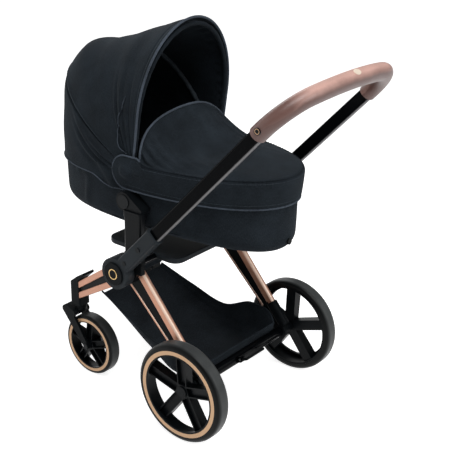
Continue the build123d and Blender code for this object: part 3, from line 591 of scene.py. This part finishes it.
def arch(angle, count, inset=0.0):
    """One arch of the canopy from side to side, (x, r): r is the distance from the pivot."""
    rise = through(arch_angle, arch_rise, angle) - inset
    straight = through(arch_angle, arch_straight, angle)
    power = through(arch_angle, arch_power, angle)
    x, r = superellipse(canopy_half_width - inset, 1.0, power, np.linspace(pi, 0, 161))
    r = rise * (straight + (1 - straight) * r)
    x = np.concatenate([[x[0]], x, [x[-1]]])
    r = np.concatenate([[0.0], r, [0.0]])
    return even(np.stack([x, r], 1), count)


def on_fan(angle, line):
    """Line of (x, r) points, stood up in the frame at a leaning about the fan's centre."""
    return np.stack([line[:, 0], fan_y + line[:, 1] * sin(angle), fan_z + line[:, 1] * cos(angle)], -1)


def hem_height(y):
    """The canopy's lower edge: it dips behind the clip and lies level round the head."""
    return through([-0.2, 0.10, 0.13, 0.165, 0.19, 0.255, 0.35, 0.60],
                   [0.650, 0.648, 0.647, 0.643, 0.646, 0.663, 0.659, 0.655], y)


hem_rows = 9
hem_lean = 0.13         # how far the hem's rows count on past the last arch, as a leaning


def row_leans(angles):
    """Leaning of every row of a canopy grid, as a column."""
    return np.concatenate([angles, angles[-1] + np.linspace(0, hem_lean, hem_rows)[1:]])[:, None]


def canopy_grid(angles, columns, inset):
    """Rows of points from the mouth over the top to the back, then straight down to the hem."""
    rows = [on_fan(a, arch(a, columns, inset(a))) for a in angles]
    last = rows[-1]
    foot = hem_height(last[:, 1])
    for share in np.linspace(0, 1, hem_rows)[1:]:
        row = last.copy()
        row[:, 2] = last[:, 2] + (foot - last[:, 2]) * share
        rows.append(row)
    return np.array(rows)


# folds of the outer cloth: leaning in degrees, bend of the fold's line (degrees for the pressed
# ones, radians for the soft ones), and depth or height
pressed_folds = ((3.5, 0.0, 0.0030), (11.0, 5.0, 0.0040), (19.0, 9.0, 0.0034))     # by the front bow
soft_folds = ((84, 1.05, 0.0062), (93, 1.15, 0.0050), (76, 0.75, 0.0036))          # behind the seam


def canopy_folds(angles, columns):
    """How far the outer cloth stands out of its smooth form, for each point of the grid."""
    across = np.linspace(-1, 1, columns)[None, :]
    side = np.abs(across)
    lean = row_leans(angles)
    out = 0.0014 * ripple(lean * 0.45, across * 0.8, seed=3, scale=0.5)
    out = out + 0.0034 * hump(lean, radians(13), radians(9)) * ease(side * 4)
    out = out - 0.0030 * hump(lean, radians(25), radians(9)) * ease((side - 0.25) * 4)
    out = out - 0.0016 * hump(lean, mouth + radians(3.2), radians(0.9))
    for at, bend, depth in pressed_folds:       # deeper lower down
        middle = radians(at) + radians(bend) * (side - 0.6)
        low_down = ease((side - 0.30) * 3) * ease((0.97 - side) * 9)
        out = out - depth * hump(lean, middle, radians(1.9)) * low_down
        out = out + depth * 0.7 * hump(lean, middle + radians(3.0), radians(2.4)) * low_down
    for at, bend, height in soft_folds:
        middle = radians(at) - bend * (0.80 - side)
        low_down = ease((side - 0.42) * 6)
        out = out + height * hump(lean, middle, radians(4.2)) * low_down * ease((0.93 - side) * 8)
        out = out - height * 0.6 * hump(lean, middle + radians(6), radians(5)) * low_down
    out = out - 0.0052 * hump(lean, seam + radians(0.6), radians(1.1))
    out = out + 0.0022 * hump(lean, seam - radians(1.8), radians(1.7))
    return out * ease((1.0 - side) * 9)


columns = 141
angles = np.unique(np.concatenate([
    np.linspace(mouth, mouth + radians(5), 13), np.linspace(mouth, mid_lean, 76),
    np.linspace(mid_lean, seam, 22), np.linspace(seam - radians(3), seam + radians(2), 21),
    np.linspace(seam, back, 40)]).round(6))
split = int(np.argmin(np.abs(angles - mid_lean)))
smooth_outer = canopy_grid(angles, columns, lambda a: 0.0)
outward = normals(smooth_outer)
outer = smooth_outer + outward * canopy_folds(angles, columns)[..., None]


def bridge_blend(piece):
    """Bakes the piece's place into its mesh."""
    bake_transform(piece)


def front_part(piece):
    bridge_blend(piece)


def rear_part(piece):
    bridge_blend(piece)


front_cloth = paint(grid_piece("canopy_front_panel", outer[:split + 1]), fabric)
rear_cloth = paint(grid_piece("canopy_rear_panel", outer[split:]), fabric)
for piece in (front_cloth, rear_cloth):
    thicken(piece, 0.0018, -1, rim=False)
front_part(front_cloth)
rear_part(rear_cloth)
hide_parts("canopy_front_cloth")
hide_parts("canopy_rear_cloth")


def lining_inset(angle):
    """Gap between the lining and the outer cloth, less at the mouth."""
    return 0.0030 + 0.0062 * float(ease((angle - mouth) / radians(4)))


lining_grid = canopy_grid(angles, columns, lining_inset)
lining_folds = 0.0022 * ripple(np.arange(len(lining_grid))[:, None] / 60,
                               np.linspace(-1, 1, columns)[None, :], seed=8, scale=0.7)
ruche = np.sin(np.arange(columns) * 1.5 + 0.7 * np.sin(np.arange(columns) * 0.37))[None, :]
ruched_band = hump(row_leans(angles), mouth + radians(6), radians(3.5))
lining_folds = lining_folds + 0.0028 * ruche * ruched_band
lining_grid = lining_grid + normals(lining_grid) * lining_folds[..., None]
front_lining = paint(grid_piece("canopy_front_lining", lining_grid[:split + 1], flip=True), fabric_dark)
rear_lining = paint(grid_piece("canopy_rear_lining", lining_grid[split:], flip=True), fabric_dark)
for piece in (front_lining, rear_lining):
    thicken(piece, 0.0010, -1)
front_part(front_lining)
rear_part(rear_lining)

mouth_line = smooth_outer[0]
edge = pipe("canopy_edge_binding", even(mouth_line, 180) - [0, 0.0008, 0], 0.0033, sides=12)
paint(edge, piping_cloth)
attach(edge, "canopy_front")

hem_line = smooth_outer[-1] + outward[-1] * 0.0006
hem = paint(pipe("canopy_hem_piping", even(hem_line, 200), 0.0019, sides=8), piping_cloth)
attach(hem, "carrycot")


def stitches(name, path, out, pitch=0.0046, length=0.0030, radius=0.00042):
    """A row of raised stitches along a path; out is the way they stand off the cloth."""
    path = np.asarray(path, float)
    run = distances(path)
    out = np.broadcast_to(np.asarray(out, float), path.shape)
    sides = 6
    # share of the stitch's length, share of its radius, and how many radii it sinks
    profile = ((0, 0.15, 1.0), (0.2, 0.9, 0.25), (0.5, 1.0, 0.0), (0.8, 0.9, 0.25), (1, 0.15, 1.0))
    around = np.linspace(0, 2 * pi, sides, endpoint=False)
    verts, faces = [], []
    for at in np.arange(pitch, run[-1] - pitch, pitch):
        ends = [np.array([np.interp(q, run, path[:, i]) for i in range(3)])
                for q in (at - length / 2, at + length / 2)]
        up = np.array([np.interp(at, run, out[:, i]) for i in range(3)])
        along = (ends[1] - ends[0]) / np.linalg.norm(ends[1] - ends[0])
        side = np.cross(along, up)
        side /= np.linalg.norm(side)
        up = np.cross(side, along)
        base = len(verts)
        for share, size, sink in profile:
            here = ends[0] + (ends[1] - ends[0]) * share - up * radius * sink
            for a in around:
                verts.append(here + (side * cos(a) + up * sin(a)) * radius * size)
        last = base + (len(profile) - 1) * sides
        for ring in range(base, last, sides):
            for j in range(sides):
                k = (j + 1) % sides
                faces.append((ring + j, ring + sides + j, ring + sides + k, ring + k))
        faces.append(tuple(base + j for j in range(sides)))
        faces.append(tuple(last + sides - 1 - j for j in range(sides)))
    return paint(link(smooth_mesh(name, [tuple(v) for v in verts], faces), name), thread)


def outer_row(angle):
    """The outer cloth's row nearest to an angle, and its normals."""
    i = int(np.argmin(np.abs(angles - angle)))
    return outer[i], outward[i]


def on_cloth(angle, r, side):
    """Point of the outer cloth at an angle and a distance from the pivot, and its outward normal."""
    i = min(int(np.searchsorted(angles, angle)), len(angles) - 1)
    share = (angle - angles[i - 1]) / (angles[i] - angles[i - 1])
    found = []
    for table in (outer, outward):
        pair = []
        for row in (i - 1, i):
            reach = np.hypot(outer[row, :, 1] - fan_y, outer[row, :, 2] - fan_z)
            span = slice(0, columns // 2) if side < 0 else slice(columns - 1, columns // 2, -1)
            pair.append([np.interp(r, reach[span], table[row, span, k]) for k in range(3)])
        found.append(np.array(pair[0]) * (1 - share) + np.array(pair[1]) * share)
    return found[0], found[1] / np.linalg.norm(found[1])


# a bound J-shaped slot in each side of the canopy: its dark strip is painted shadow in the slot, and the pale lip
# beside it stands in for the highlight on the slot's edge
slot_turns = np.radians([6.2, 12.1, 18.0, 25.0, 30.4, 32.0, 28.0, 20.0, 11.9])
slot_reach = [0.212, 0.171, 0.141, 0.113, 0.096, 0.082, 0.070, 0.064, 0.062]
for side, word in ((-1, "left"), (1, "right")):
    share = np.linspace(0, 1, 60)
    knots = np.linspace(0, 1, len(slot_turns))
    turns, reaches = through(knots, slot_turns, share), through(knots, slot_reach, share)
    route = [on_cloth(a, r, side) for a, r in zip(turns, reaches)]
    line, up = np.array([p for p, n in route]), np.array([n for p, n in route])
    size = 0.0026 * ease(np.minimum(share, 1 - share) * 14 + 0.15)
    slot_shadow = pipe("canopy_slot_" + word, line + up * 0.0004, size, flat=0.5, lean=up)
    paint(slot_shadow, fabric_dark)
    beside = unit(np.cross(up, np.gradient(line, axis=0)) * side)
    highlight_lip_line = line + up * 0.0010 + beside * 0.0034
    lip = paint(pipe("canopy_slot_highlight_lip_" + word, highlight_lip_line, size * 0.55, sides=8), piping_cloth)
    for piece in (slot_shadow, lip):
        front_part(piece)


trim = slice(8, -8)         # no stitches where the arches run into the pivot
for name, angle, part in (("canopy_front_stitches", mouth + radians(2.2), front_part),
                          ("canopy_seam_stitches", seam - radians(1.6), rear_part)):
    line, up = outer_row(angle)
    part(stitches(name, (line + up * 0.0004)[trim], up[trim]))


# ---- bows' sleeves inside the canopy
leg_start = 0.012       # the sleeve begins this far from the pivot


def hoop(lean, half_width, spring, rise, count=150):
    """Line of a bow: straight legs under half an ellipse, in a plane through the pivot."""
    turn = np.linspace(pi, 0, 90)
    x = np.concatenate([[-half_width], half_width * np.cos(turn), [half_width]])
    r = np.concatenate([[leg_start], spring + (rise - spring) * np.sin(turn), [leg_start]])
    line = even(np.stack([x, r], 1), count)
    return np.stack([line[:, 0], pivot_y + line[:, 1] * sin(lean), pivot_z + line[:, 1] * cos(lean)], 1)


bow_r, eye_half = 0.0045, 0.005
for name, node, body, lean, spring, top in (
        ("canopy_mid_sleeve", "canopy_mid_bow", "canopy_mid", mid_lean, 0.112, mid_bow_top),
        ("canopy_front_sleeve", "canopy_front_bow", "canopy_front", front_lean, 0.145, front_bow_top)):
    rise = (Vector((top.y, top.z)) - Vector((pivot_y, pivot_z))).length - bow_r
    line = hoop(lean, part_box(node)[1].x - eye_half, spring, rise)
    run = np.linspace(0, 1, len(line))
    ruffle = 1 + 0.06 * np.sin(run * 150) + 0.04 * np.sin(run * 233 + 1.0)
    size = (bow_r + 0.0018) * ruffle * (0.75 + 0.25 * ease(np.minimum(run, 1 - run) * 40))
    sleeve = pipe(name, line, size, sides=14)
    paint(sleeve, strap_cloth if body == "canopy_mid" else fabric_dark)
    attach(sleeve, body)


# ---- carrycot
def plan(angle, half_width, half_length, power):
    """Points of the cot's plan, at an angle from +X."""
    x, y = superellipse(half_width, half_length, power, angle)
    return x, cot_y + y


tub_power = 2.1
tub_edge_r = 0.044
taper_w, taper_l = 0.005, 0.002      # the walls lean in by this much towards the floor
rim_rise = 0.002                     # cover above the rim of the shell
around = np.linspace(0, 2 * pi, 241)[:-1]
rows = [("floor", max(share, 0.02)) for share in np.linspace(0, 1, 9)]      # from the middle outwards
rows += [("edge", turn) for turn in np.linspace(0, pi / 2, 12)[1:]]
rows += [("wall", share) for share in np.linspace(0, 1, 16)[1:]]
flat_w, flat_l = tub_half_width - tub_edge_r - taper_w, tub_half_length - tub_edge_r - taper_l
tub_grid = []
for kind, value in rows:
    if kind == "floor":
        half_w, half_l, lift = flat_w * value, flat_l * value, 0.0
    elif kind == "edge":
        out = tub_edge_r * sin(value)
        half_w, half_l, lift = flat_w + out, flat_l + out, tub_edge_r * (1 - cos(value))
    else:
        half_w = tub_half_width - taper_w + taper_w * value
        half_l = tub_half_length - taper_l + taper_l * value
    x, y = plan(around, half_w, half_l, tub_power)
    sag = floor_z - floor_arch * ((y - cot_y) / tub_half_length) ** 2
    if kind == "wall":
        low = sag + tub_edge_r
        z = low + (rim_z + rim_rise - low) * value
    else:
        z = sag + lift
    tub_grid.append(np.stack([x, y, z], 1))
tub_grid = np.array(tub_grid)
tub_out = normals(tub_grid, closed=True)
height = (tub_grid[..., 2] - floor_z) / (rim_z - floor_z)
soft = 0.0016 * ripple(around[None, :] * 1.3, height * 0.5, seed=5, scale=0.9)
soft = soft * ease(height * 3)
drape = 0.0014 * np.sin(around * 46)[None, :] * ease((height - 0.75) * 4)
crease_height, crease_width = 0.0052, 0.035
for turn, lean_by in ((152, 0.10), (28, -0.10), (206, -0.06), (-26, 0.06)):
    away = around[None, :] - radians(turn) - lean_by * (height - 0.5)
    away = (away + pi) % (2 * pi) - pi
    crease = crease_height * np.exp(-(away / crease_width) ** 2)
    drape = drape + crease * ease(height * 2.2) * ease((1.1 - height) * 3)
tub_grid = tub_grid + tub_out * (soft + drape)[..., None]
tub_skin = paint(grid_piece("cot_tub_cover", tub_grid, closed=True), fabric)
thicken(tub_skin, 0.003, -1)

inner_rows = []
mattress_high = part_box("cot_mattress")[1]
wall = 0.008
lining_rows = 14
for share in np.linspace(0, 1, lining_rows):
    inset = wall + 0.001 * share
    x, y = plan(around, tub_half_width - inset, tub_half_length - inset, tub_power)
    z = rim_z + rim_rise + (mattress_high.z - 0.022 - rim_z) * share
    inner_rows.append(level_line(x, y, z))
inner_rows = np.array(inner_rows)
quilt = 0.0020 * np.abs(np.sin(around * 18))[None, :]
quilt = quilt * ease(np.linspace(0, 1, lining_rows) * 4)[:, None]
inner_rows = inner_rows + normals(inner_rows, closed=True) * quilt[..., None]
tub_lining = paint(grid_piece("cot_tub_lining", inner_rows, closed=True), fabric_dark)
for piece in (tub_skin, tub_lining):
    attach(piece, "carrycot")
x, y = plan(around, tub_half_width - wall / 2, tub_half_length - wall / 2, tub_power)
rim = pipe("cot_rim_binding", level_line(x, y, rim_z + rim_rise), 0.0048, closed=True, sides=12)
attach(paint(rim, fabric), "carrycot")
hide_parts("cot_tub")


# ---- mattress
def inside_tub(z):
    """Room inside the tub at height z, as (half width, half length)."""
    lift = np.clip(z - floor_z, 0, tub_edge_r)
    reach = tub_edge_r * (np.sin(np.arccos(1 - lift / tub_edge_r)) - 1) - wall - 0.004
    return tub_half_width - taper_w + reach, tub_half_length - taper_l + reach


def mattress_grid():
    rows = []
    top = mattress_high.z
    thick, crown, roll = 0.032, 0.006, 0.010
    wide, long = inside_tub(top - crown)
    for share in np.linspace(0.02, 1, 16):
        x, y = plan(around, (wide - roll) * share, (long - roll) * share, tub_power)
        rows.append(level_line(x, y, top - crown * share ** 5))
    for turn in np.linspace(0, pi, 12)[1:]:
        z = top - crown - thick / 2 * (1 - cos(turn))
        wide, long = inside_tub(z)
        x, y = plan(around, wide - roll * (1 - sin(turn)), long - roll * (1 - sin(turn)), tub_power)
        rows.append(level_line(x, y, z))
    for share in np.linspace(1, 0.02, 8)[1:]:
        x, y = plan(around, (wide - roll) * share, (long - roll) * share, tub_power)
        rows.append(level_line(x, y, top - crown - thick))
    return np.array(rows)[::-1]


mattress = paint(grid_piece("cot_mattress_pad", mattress_grid(), closed=True), mattress_cloth)
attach(mattress, "carrycot")
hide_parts("cot_mattress")


# ---- apron
seam_z = hem_z + 0.079
tab_z = apron_low.z + 0.095
tab_end_y = 0.149
tab_start_y = 0.043
tab_end_r = 0.049
apron_power = 2.1
seam_depth = 0.0026     # how far the skirt's top dips in at its seam


def gathers(run, pitch, unevenness, drift):
    """Small tucks along a seam, -1 to 1, at a pitch that wanders a little."""
    return np.sin(run / pitch * 2 * pi + unevenness * np.sin(run * drift))


def plan_angle(y, half_length, power):
    """Angle of the plan's point at y on the far side, measured from +X."""
    share = (y - cot_y) / half_length
    return np.sign(share) * np.arcsin(abs(share) ** (power / 2))


def edge_line(z, half_width, half_length, y_ends, count):
    """Line round the foot from the near side to the far side, at even distances."""
    end = plan_angle(y_ends, half_length, apron_power)
    x, y = plan(np.linspace(pi - end, 2 * pi + end, 600), half_width, half_length, apron_power)
    return even(level_line(x, y, z), count)


skirt_columns = 321
base_line = edge_line(0.0, apron_half_width - 0.003, foot_half_length - 0.006, tab_end_y, skirt_columns)
run = distances(base_line)
from_end = np.minimum(run, run[-1] - run)
tab_length = from_end[np.argmin(np.abs(base_line[:60, 1] - tab_start_y))]
in_tab = ease((tab_length + 0.012 - from_end) / 0.030)
end_share = np.clip(1 - from_end / tab_end_r, 0, 1)
rounding = np.maximum(np.sqrt(1 - end_share ** 2), 0.03)
top_line = seam_z + (tab_z - seam_z) * in_tab
middle = (top_line + hem_z) / 2
half_rise = (top_line - hem_z) / 2 * rounding
skirt_rows = 34
skirt = []
for share in np.linspace(-1, 1, skirt_rows):
    row = base_line.copy()
    row[:, 2] = middle + half_rise * share
    skirt.append(row)
skirt = np.array(skirt)
skirt_out = normals(skirt)
skirt_out[..., 2] = 0
skirt_out = unit(skirt_out)
level = np.linspace(0, 1, skirt_rows)[:, None]
flare = 0.006 * level * (1 - in_tab)
plump = 0.0034 * (1 - (2 * level - 1) ** 4)
slow = 0.0018 * ripple(run[None, :] / 0.35, level * 0.6, seed=12, scale=0.8)
tuck = 0.0011 * gathers(run, 0.0105, 1.3, 37) * hump(level, 1.0, 0.30) * (1 - in_tab)
hem_tuck = 0.0005 * gathers(run, 0.013, 1.1, 29) * hump(level, 0.08, 0.16)
seam_dip = -seam_depth * hump(level, 1.0, 0.07) * (1 - in_tab)
skirt = skirt + skirt_out * (flare + plump + slow + tuck + hem_tuck + seam_dip)[..., None]
# bumps on the tab, by the canopy's pivot: y, z, height and reach
for y, z, height, reach in ((0.097, 0.709, 0.0085, 0.021), (0.058, 0.711, 0.0050, 0.012)):
    for side in (-1, 1):
        away = ((skirt[..., 1] - y) / reach) ** 2 + ((skirt[..., 2] - z) / (reach * 0.9)) ** 2
        bulge = height * np.exp(-away ** 2.4) * (skirt[..., 0] * side > 0)
        skirt = skirt + skirt_out * bulge[..., None]
skirt_piece = paint(grid_piece("apron_skirt", skirt), fabric)
thicken(skirt_piece, 0.0028, -1)

# the apron's top: each line runs from the seam at the skirt up to the flap's arch
top_columns = 281
seam_line = edge_line(seam_z, apron_half_width + 0.003 - seam_depth, foot_half_length - seam_depth,
                      tab_start_y, top_columns)
flap_half_width = 0.191
flap_foot = 0.738
flap_rise = apron_high.z - flap_foot
turn = np.linspace(pi, 0, 400)
arch_x = flap_half_width * np.cos(turn)
arch_z = flap_foot + flap_rise * np.sin(turn) ** 0.98
arch_y = 0.053 + 0.011 * np.sin(2 * turn) ** 2
flap_line = even(np.stack([arch_x, arch_y, arch_z], 1), top_columns)
seam_run = distances(seam_line)
spread = np.linspace(0, 1, top_columns)
reach = np.linalg.norm((seam_line - flap_line)[:, :2], axis=1)
top_rows = 54
row_power = 1.45        # crowds the rows towards the flap
top_grid = []
for s in np.linspace(1, 0, top_rows) ** row_power:
    row = flap_line + (seam_line - flap_line) * s
    away = s * reach
    sweep = np.minimum(0.165, reach * 0.96)
    rise = np.clip(1 - away / sweep, 0, 1) ** 2.3
    crown = 0.013 * np.sin(pi * s) ** 0.8 * np.clip(reach / 0.30, 0, 1)
    row[:, 2] = seam_z + crown + (flap_line[:, 2] - seam_z) * rise
    top_grid.append(row)
top_grid = np.array(top_grid)
top_out = normals(top_grid)
s = (np.linspace(1, 0, top_rows) ** row_power)[:, None]
lift = 0.0026 * ripple(spread[None, :] * 3, s * 1.2, seed=21, scale=0.8)
lift = lift * ease(s * 6) * ease((1 - s) * 6)
for side in (spread, 1 - spread):
    side = side[None, :]
    window = ease(side / 0.012) * np.exp(-side / 0.11) * np.sin(pi * np.clip(s, 0, 1) ** 0.62)
    lift = lift + 0.0090 * np.sin(2 * pi * (side / 0.060 + 0.10 * np.sin(s * 4))) * window
seam_window = hump(s * reach[None, :], 0.0, 0.026)
puckers = gathers(seam_run, 0.0105, 1.3, 37)
lift = lift + 0.0017 * puckers[None, :] * seam_window - 0.0018 * hump(s * reach[None, :], 0.0, 0.006)
lift = lift * ease((1 - s) * 14 + 0.15)
top_grid = top_grid + top_out * lift[..., None]
apron_top = paint(grid_piece("apron_top", top_grid), fabric)
thicken(apron_top, 0.0030, -1)
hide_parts("cot_apron")

seam_out = unit(seam_line - [0, cot_y, seam_z])
groove = top_grid[0] + seam_out * 0.0012
groove[:, 2] += 0.0008 * puckers
swell = 0.0013 * (1 + 0.35 * gathers(seam_run, 0.013, 2.0, 23))
seam_cord = paint(pipe("apron_seam", groove, swell, sides=8), fabric_dark)
for piece in (skirt_piece, apron_top, seam_cord):
    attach(piece, "carrycot")

flap_edge = pipe("apron_flap_piping", even(flap_line + [0, 0.0015, 0.001], 180), 0.0032)
paint(flap_edge, piping_cloth)
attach(flap_edge, "carrycot")

# cord round the tabs and the skirt's hem, from the near flap foot round to the far one
flap_column = int(np.argmin(np.abs(from_end[:80] - tab_length)))
near_top = [skirt[-1, i] for i in range(flap_column, 0, -1)]
far_top = [skirt[-1, -1 - i] for i in range(flap_column, 0, -1)]
cord_line = even(np.array(near_top + list(skirt[0]) + far_top[::-1]), 460)
away = cord_line - [0, cot_y, 0]
away[:, 2] = 0
hem_cord = pipe("apron_hem_piping", cord_line + unit(away) * 0.0010, 0.0024, sides=8)
paint(hem_cord, piping_cloth)
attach(hem_cord, "carrycot")
# two rows of stitches: row of the skirt, and columns left out at each end
for name, row, clear in (("apron_hem_stitches", 5, 14), ("apron_seam_stitches", -4, 26)):
    up = skirt_out[row, clear:-clear]
    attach(stitches(name, skirt[row, clear:-clear] + up * 0.0006, up), "carrycot")


# ---- basket
basket_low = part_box("basket")[0]
rod_low, rod_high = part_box("basket_rod")
rod = (rod_low + rod_high) / 2
basket_back_y = basket_low.y + 0.002
basket_front_y = rod_low.y - 0.001
basket_floor_z = basket_low.z


basket_columns = 101


def basket_sides(y):
    """Half width, height of the rim and height of the floor, along the basket."""
    wide = through([-0.143, -0.06, 0.04, basket_front_y], [0.180, 0.180, 0.160, 0.135], y)
    rim = through([-0.143, -0.134, -0.123, -0.106, -0.058, 0.031, 0.150, basket_front_y],
                  [0.162, 0.184, 0.198, 0.206, 0.209, 0.182, 0.218, 0.262], y)
    floor = through([-0.143, -0.037, 0.078, 0.20, basket_front_y],
                    [0.121, 0.115, 0.150, 0.2145, 0.2545], y)
    return wide, rim, floor


basket_ys = np.linspace(basket_back_y, basket_front_y, 90)
basket_grid = []
for y in basket_ys:
    wide, rim, floor = basket_sides(y)
    deep = rim - floor
    r = min(0.022, 0.48 * deep)
    lean = 0.006
    side = [(-wide, rim), (-wide + lean * 0.4, rim - deep * 0.35)]
    corner = [(-wide + lean + r * (1 - cos(a)), floor + r * (1 - sin(a)))
              for a in np.linspace(0, pi / 2, 9)]
    line = np.array(side + corner + [(0, floor)])
    mirror = line[::-1][1:] * [-1, 1]
    line = even(np.concatenate([line, mirror]), basket_columns)
    sag = 0.005 * (1 - (line[:, 0] / wide) ** 2) * ease((deep - 0.004) / 0.03)
    basket_grid.append(np.stack([line[:, 0], np.full(len(line), y), line[:, 1] + 0.005 - sag], 1))
basket_grid = np.array(basket_grid)
basket_out = normals(basket_grid)
gather = ripple(basket_ys[:, None] * 4, np.linspace(-1, 1, basket_columns)[None, :] * 1.2,
                seed=31, scale=0.9)
gather = 0.0022 * gather * np.sin(np.linspace(0, pi, basket_columns))[None, :] ** 0.5
basket_grid = basket_grid + basket_out * gather[..., None]
basket_grid[..., 2] = np.maximum(basket_grid[..., 2], basket_floor_z + 0.0008)
basket_cloth = paint(grid_piece("basket_cloth", basket_grid), fabric_basket)
thicken(basket_cloth, 0.0016, 0)
back_wall = []
edge_row = basket_grid[0]
top_z = np.linspace(edge_row[0, 2], edge_row[-1, 2], basket_columns)
for share in np.linspace(0, 1, 10):
    row = edge_row.copy()
    row[:, 2] = edge_row[:, 2] + (top_z - edge_row[:, 2]) * share
    row[:, 1] -= 0.0006
    back_wall.append(row)
basket_back = paint(grid_piece("basket_back", np.array(back_wall), flip=True), fabric_basket)
thicken(basket_back, 0.0016, 0)
rims = [paint(pipe("basket_binding_" + word, even(line, count), 0.0028, sides=8), fabric)
        for word, line, count in (("left", basket_grid[:, 0], 120), ("right", basket_grid[:, -1], 120),
                                  ("back", back_wall[-1], 80))]
lip = basket_grid[-1]
wrap = []
wrap_r = rod_high.z - rod.z + 0.0012
for turn in np.linspace(-0.5 * pi, 0.9 * pi, 16) + 0.2:
    row = lip.copy()
    row[:, 1] = rod.y - wrap_r * cos(turn)
    row[:, 2] = rod.z + wrap_r * sin(turn)
    wrap.append(row)
lip_wrap = paint(grid_piece("basket_lip", np.array(wrap)), fabric_basket)
thicken(lip_wrap, 0.0012, 1)
for piece in (basket_cloth, basket_back, *rims):
    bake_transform(piece)
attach(lip_wrap, "root")
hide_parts("basket")


# ---- small fittings
bodies = frame["record"]["behaviour"]["bodies"]
body_of = {node: body for body, owned in bodies.items() for node in owned}


def disc_of(node, side):
    """Middle of the outer face of a round piece that turns about X, on one side of the pram."""
    points = [v.co for v in nodes[node].data.vertices if v.co.x * side > 0]
    low = Vector([min(p[i] for p in points) for i in range(3)])
    high = Vector([max(p[i] for p in points) for i in range(3)])
    return high.x if side > 0 else low.x, (low.y + high.y) / 2, (low.z + high.z) / 2


def face_ring(name, node, side, inner, outer, proud, material):
    """Thin ring on the outer face of a round piece."""
    middle = disc_of(node, side)
    low, high = middle[0] - side * 0.0009, middle[0] + side * proud
    profile = [(low, inner), (high, inner + 0.0004), (high, outer - 0.0004), (low, outer)]
    ring = paint(turned_x(name, middle, profile[::side]), material)
    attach(ring, body_of[node])


# inner and outer radius, and how far each ring stands proud
for side, word in ((-1, "left"), (1, "right")):
    face_ring("cover_ring_" + word, "hinge_covers", side, 0.0127, 0.0158, 0.0003, brass)
    face_ring("cap_ring_" + word, "grip_end_caps", side, 0.0052, 0.0074, 0.0003, copper)
    face_ring("cap_edge_" + word, "grip_end_caps", side, 0.0080, 0.0090, 0.0004, plastic)


bpy.context.view_layer.update()


# ---- stage, light and camera
backdrop_glow = 0.82    # brings what the camera sees of the floor to white
room_light = 0.29       # even light from all round


def floor_and_back():
    """White floor that curves up into a wall behind the pram."""
    verts, faces = [], []
    rows = [(-6.0, 0.0), (4.0, 0.0)]
    for turn in np.linspace(0, pi / 2, 14):
        rows.append((4.0 + 2.0 * sin(turn), 2.0 * (1 - cos(turn))))
    rows.append((6.0, 7.0))
    for y, z in rows:
        verts += [(-9, y, z), (9, y, z)]
    for i in range(len(rows) - 1):
        faces.append((2 * i, 2 * i + 1, 2 * i + 3, 2 * i + 2))
    floor = link(smooth_mesh("floor", verts, faces), "floor")
    floor.location.z = -0.0004
    s = Shader("floor_white", Roughness=0.9, Base_Color=(0.80, 0.80, 0.80, 1), Specular_IOR_Level=0.1)
    path = s.add("ShaderNodeLightPath")
    seen = s.math("MAXIMUM", path.outputs["Is Camera Ray"],
                  s.math("MAXIMUM", path.outputs["Is Glossy Ray"], path.outputs["Is Transmission Ray"]))
    glow = s.add("ShaderNodeEmission", {"Color": (1, 1, 1, 1),
                                        "Strength": s.math("MULTIPLY", seen, backdrop_glow)})
    both = s.add("ShaderNodeAddShader", {0: s.surface.outputs[0], 1: glow.outputs[0]})
    s.tree.links.new(both.outputs[0], s.tree.nodes["Material Output"].inputs["Surface"])
    paint(floor, s.material)


floor_and_back()

world = bpy.data.worlds.new("studio")
world.use_nodes = True
bpy.context.scene.world = world
tree = world.node_tree
tree.nodes.clear()
seen = tree.nodes.new("ShaderNodeLightPath")
mix = tree.nodes.new("ShaderNodeMixShader")
output = tree.nodes.new("ShaderNodeOutputWorld")
tree.links.new(seen.outputs["Is Camera Ray"], mix.inputs[0])
for socket, strength in ((1, room_light), (2, 1.0)):       # on the pram, and as the camera sees it
    light = tree.nodes.new("ShaderNodeBackground")
    light.inputs["Color"].default_value = (1, 1, 1, 1)
    light.inputs["Strength"].default_value = strength
    tree.links.new(light.outputs[0], mix.inputs[socket])
tree.links.new(mix.outputs[0], output.inputs[0])


def lamp(name, place, target, size, power):
    """Rectangular lamp; size is in metres and power in watts."""
    light = bpy.data.lights.new(name, "AREA")
    light.shape = "RECTANGLE"
    light.size, light.size_y = size
    light.energy = power
    lamp_object = bpy.data.objects.new(name, light)
    bpy.context.scene.collection.objects.link(lamp_object)
    lamp_object.location = place
    lamp_object.rotation_euler = (Vector(target) - Vector(place)).to_track_quat("-Z", "Y").to_euler()


aim = (0, 0.05, 0.55)        # about the middle of the pram
lamp("key", (-0.9, -1.3, 3.5), aim, (1.8, 1.5), 68)
lamp("side", (-3.2, 1.0, 1.8), aim, (1.8, 1.8), 12)
lamp("front", (0.8, -3.4, 1.8), aim, (1.8, 1.4), 42)
lamp("rear", (1.6, 2.6, 2.6), aim, (2.0, 1.4), 22)

camera = bpy.data.cameras.new("camera")
camera.lens = 80.36
camera.sensor_width = 36.0
camera.shift_x = 0.0893
camera.shift_y = -0.0101
camera.clip_end = 50
eye = bpy.data.objects.new("camera", camera)
bpy.context.scene.collection.objects.link(eye)
eye.location = (-2.1015, -1.7302, 1.6306)
looks_at = Vector((0, 0.043, 0.5))
eye.rotation_euler = (looks_at - eye.location).to_track_quat("-Z", "Y").to_euler()
bpy.context.scene.camera = eye
bpy.context.scene.view_settings.view_transform = "Standard"
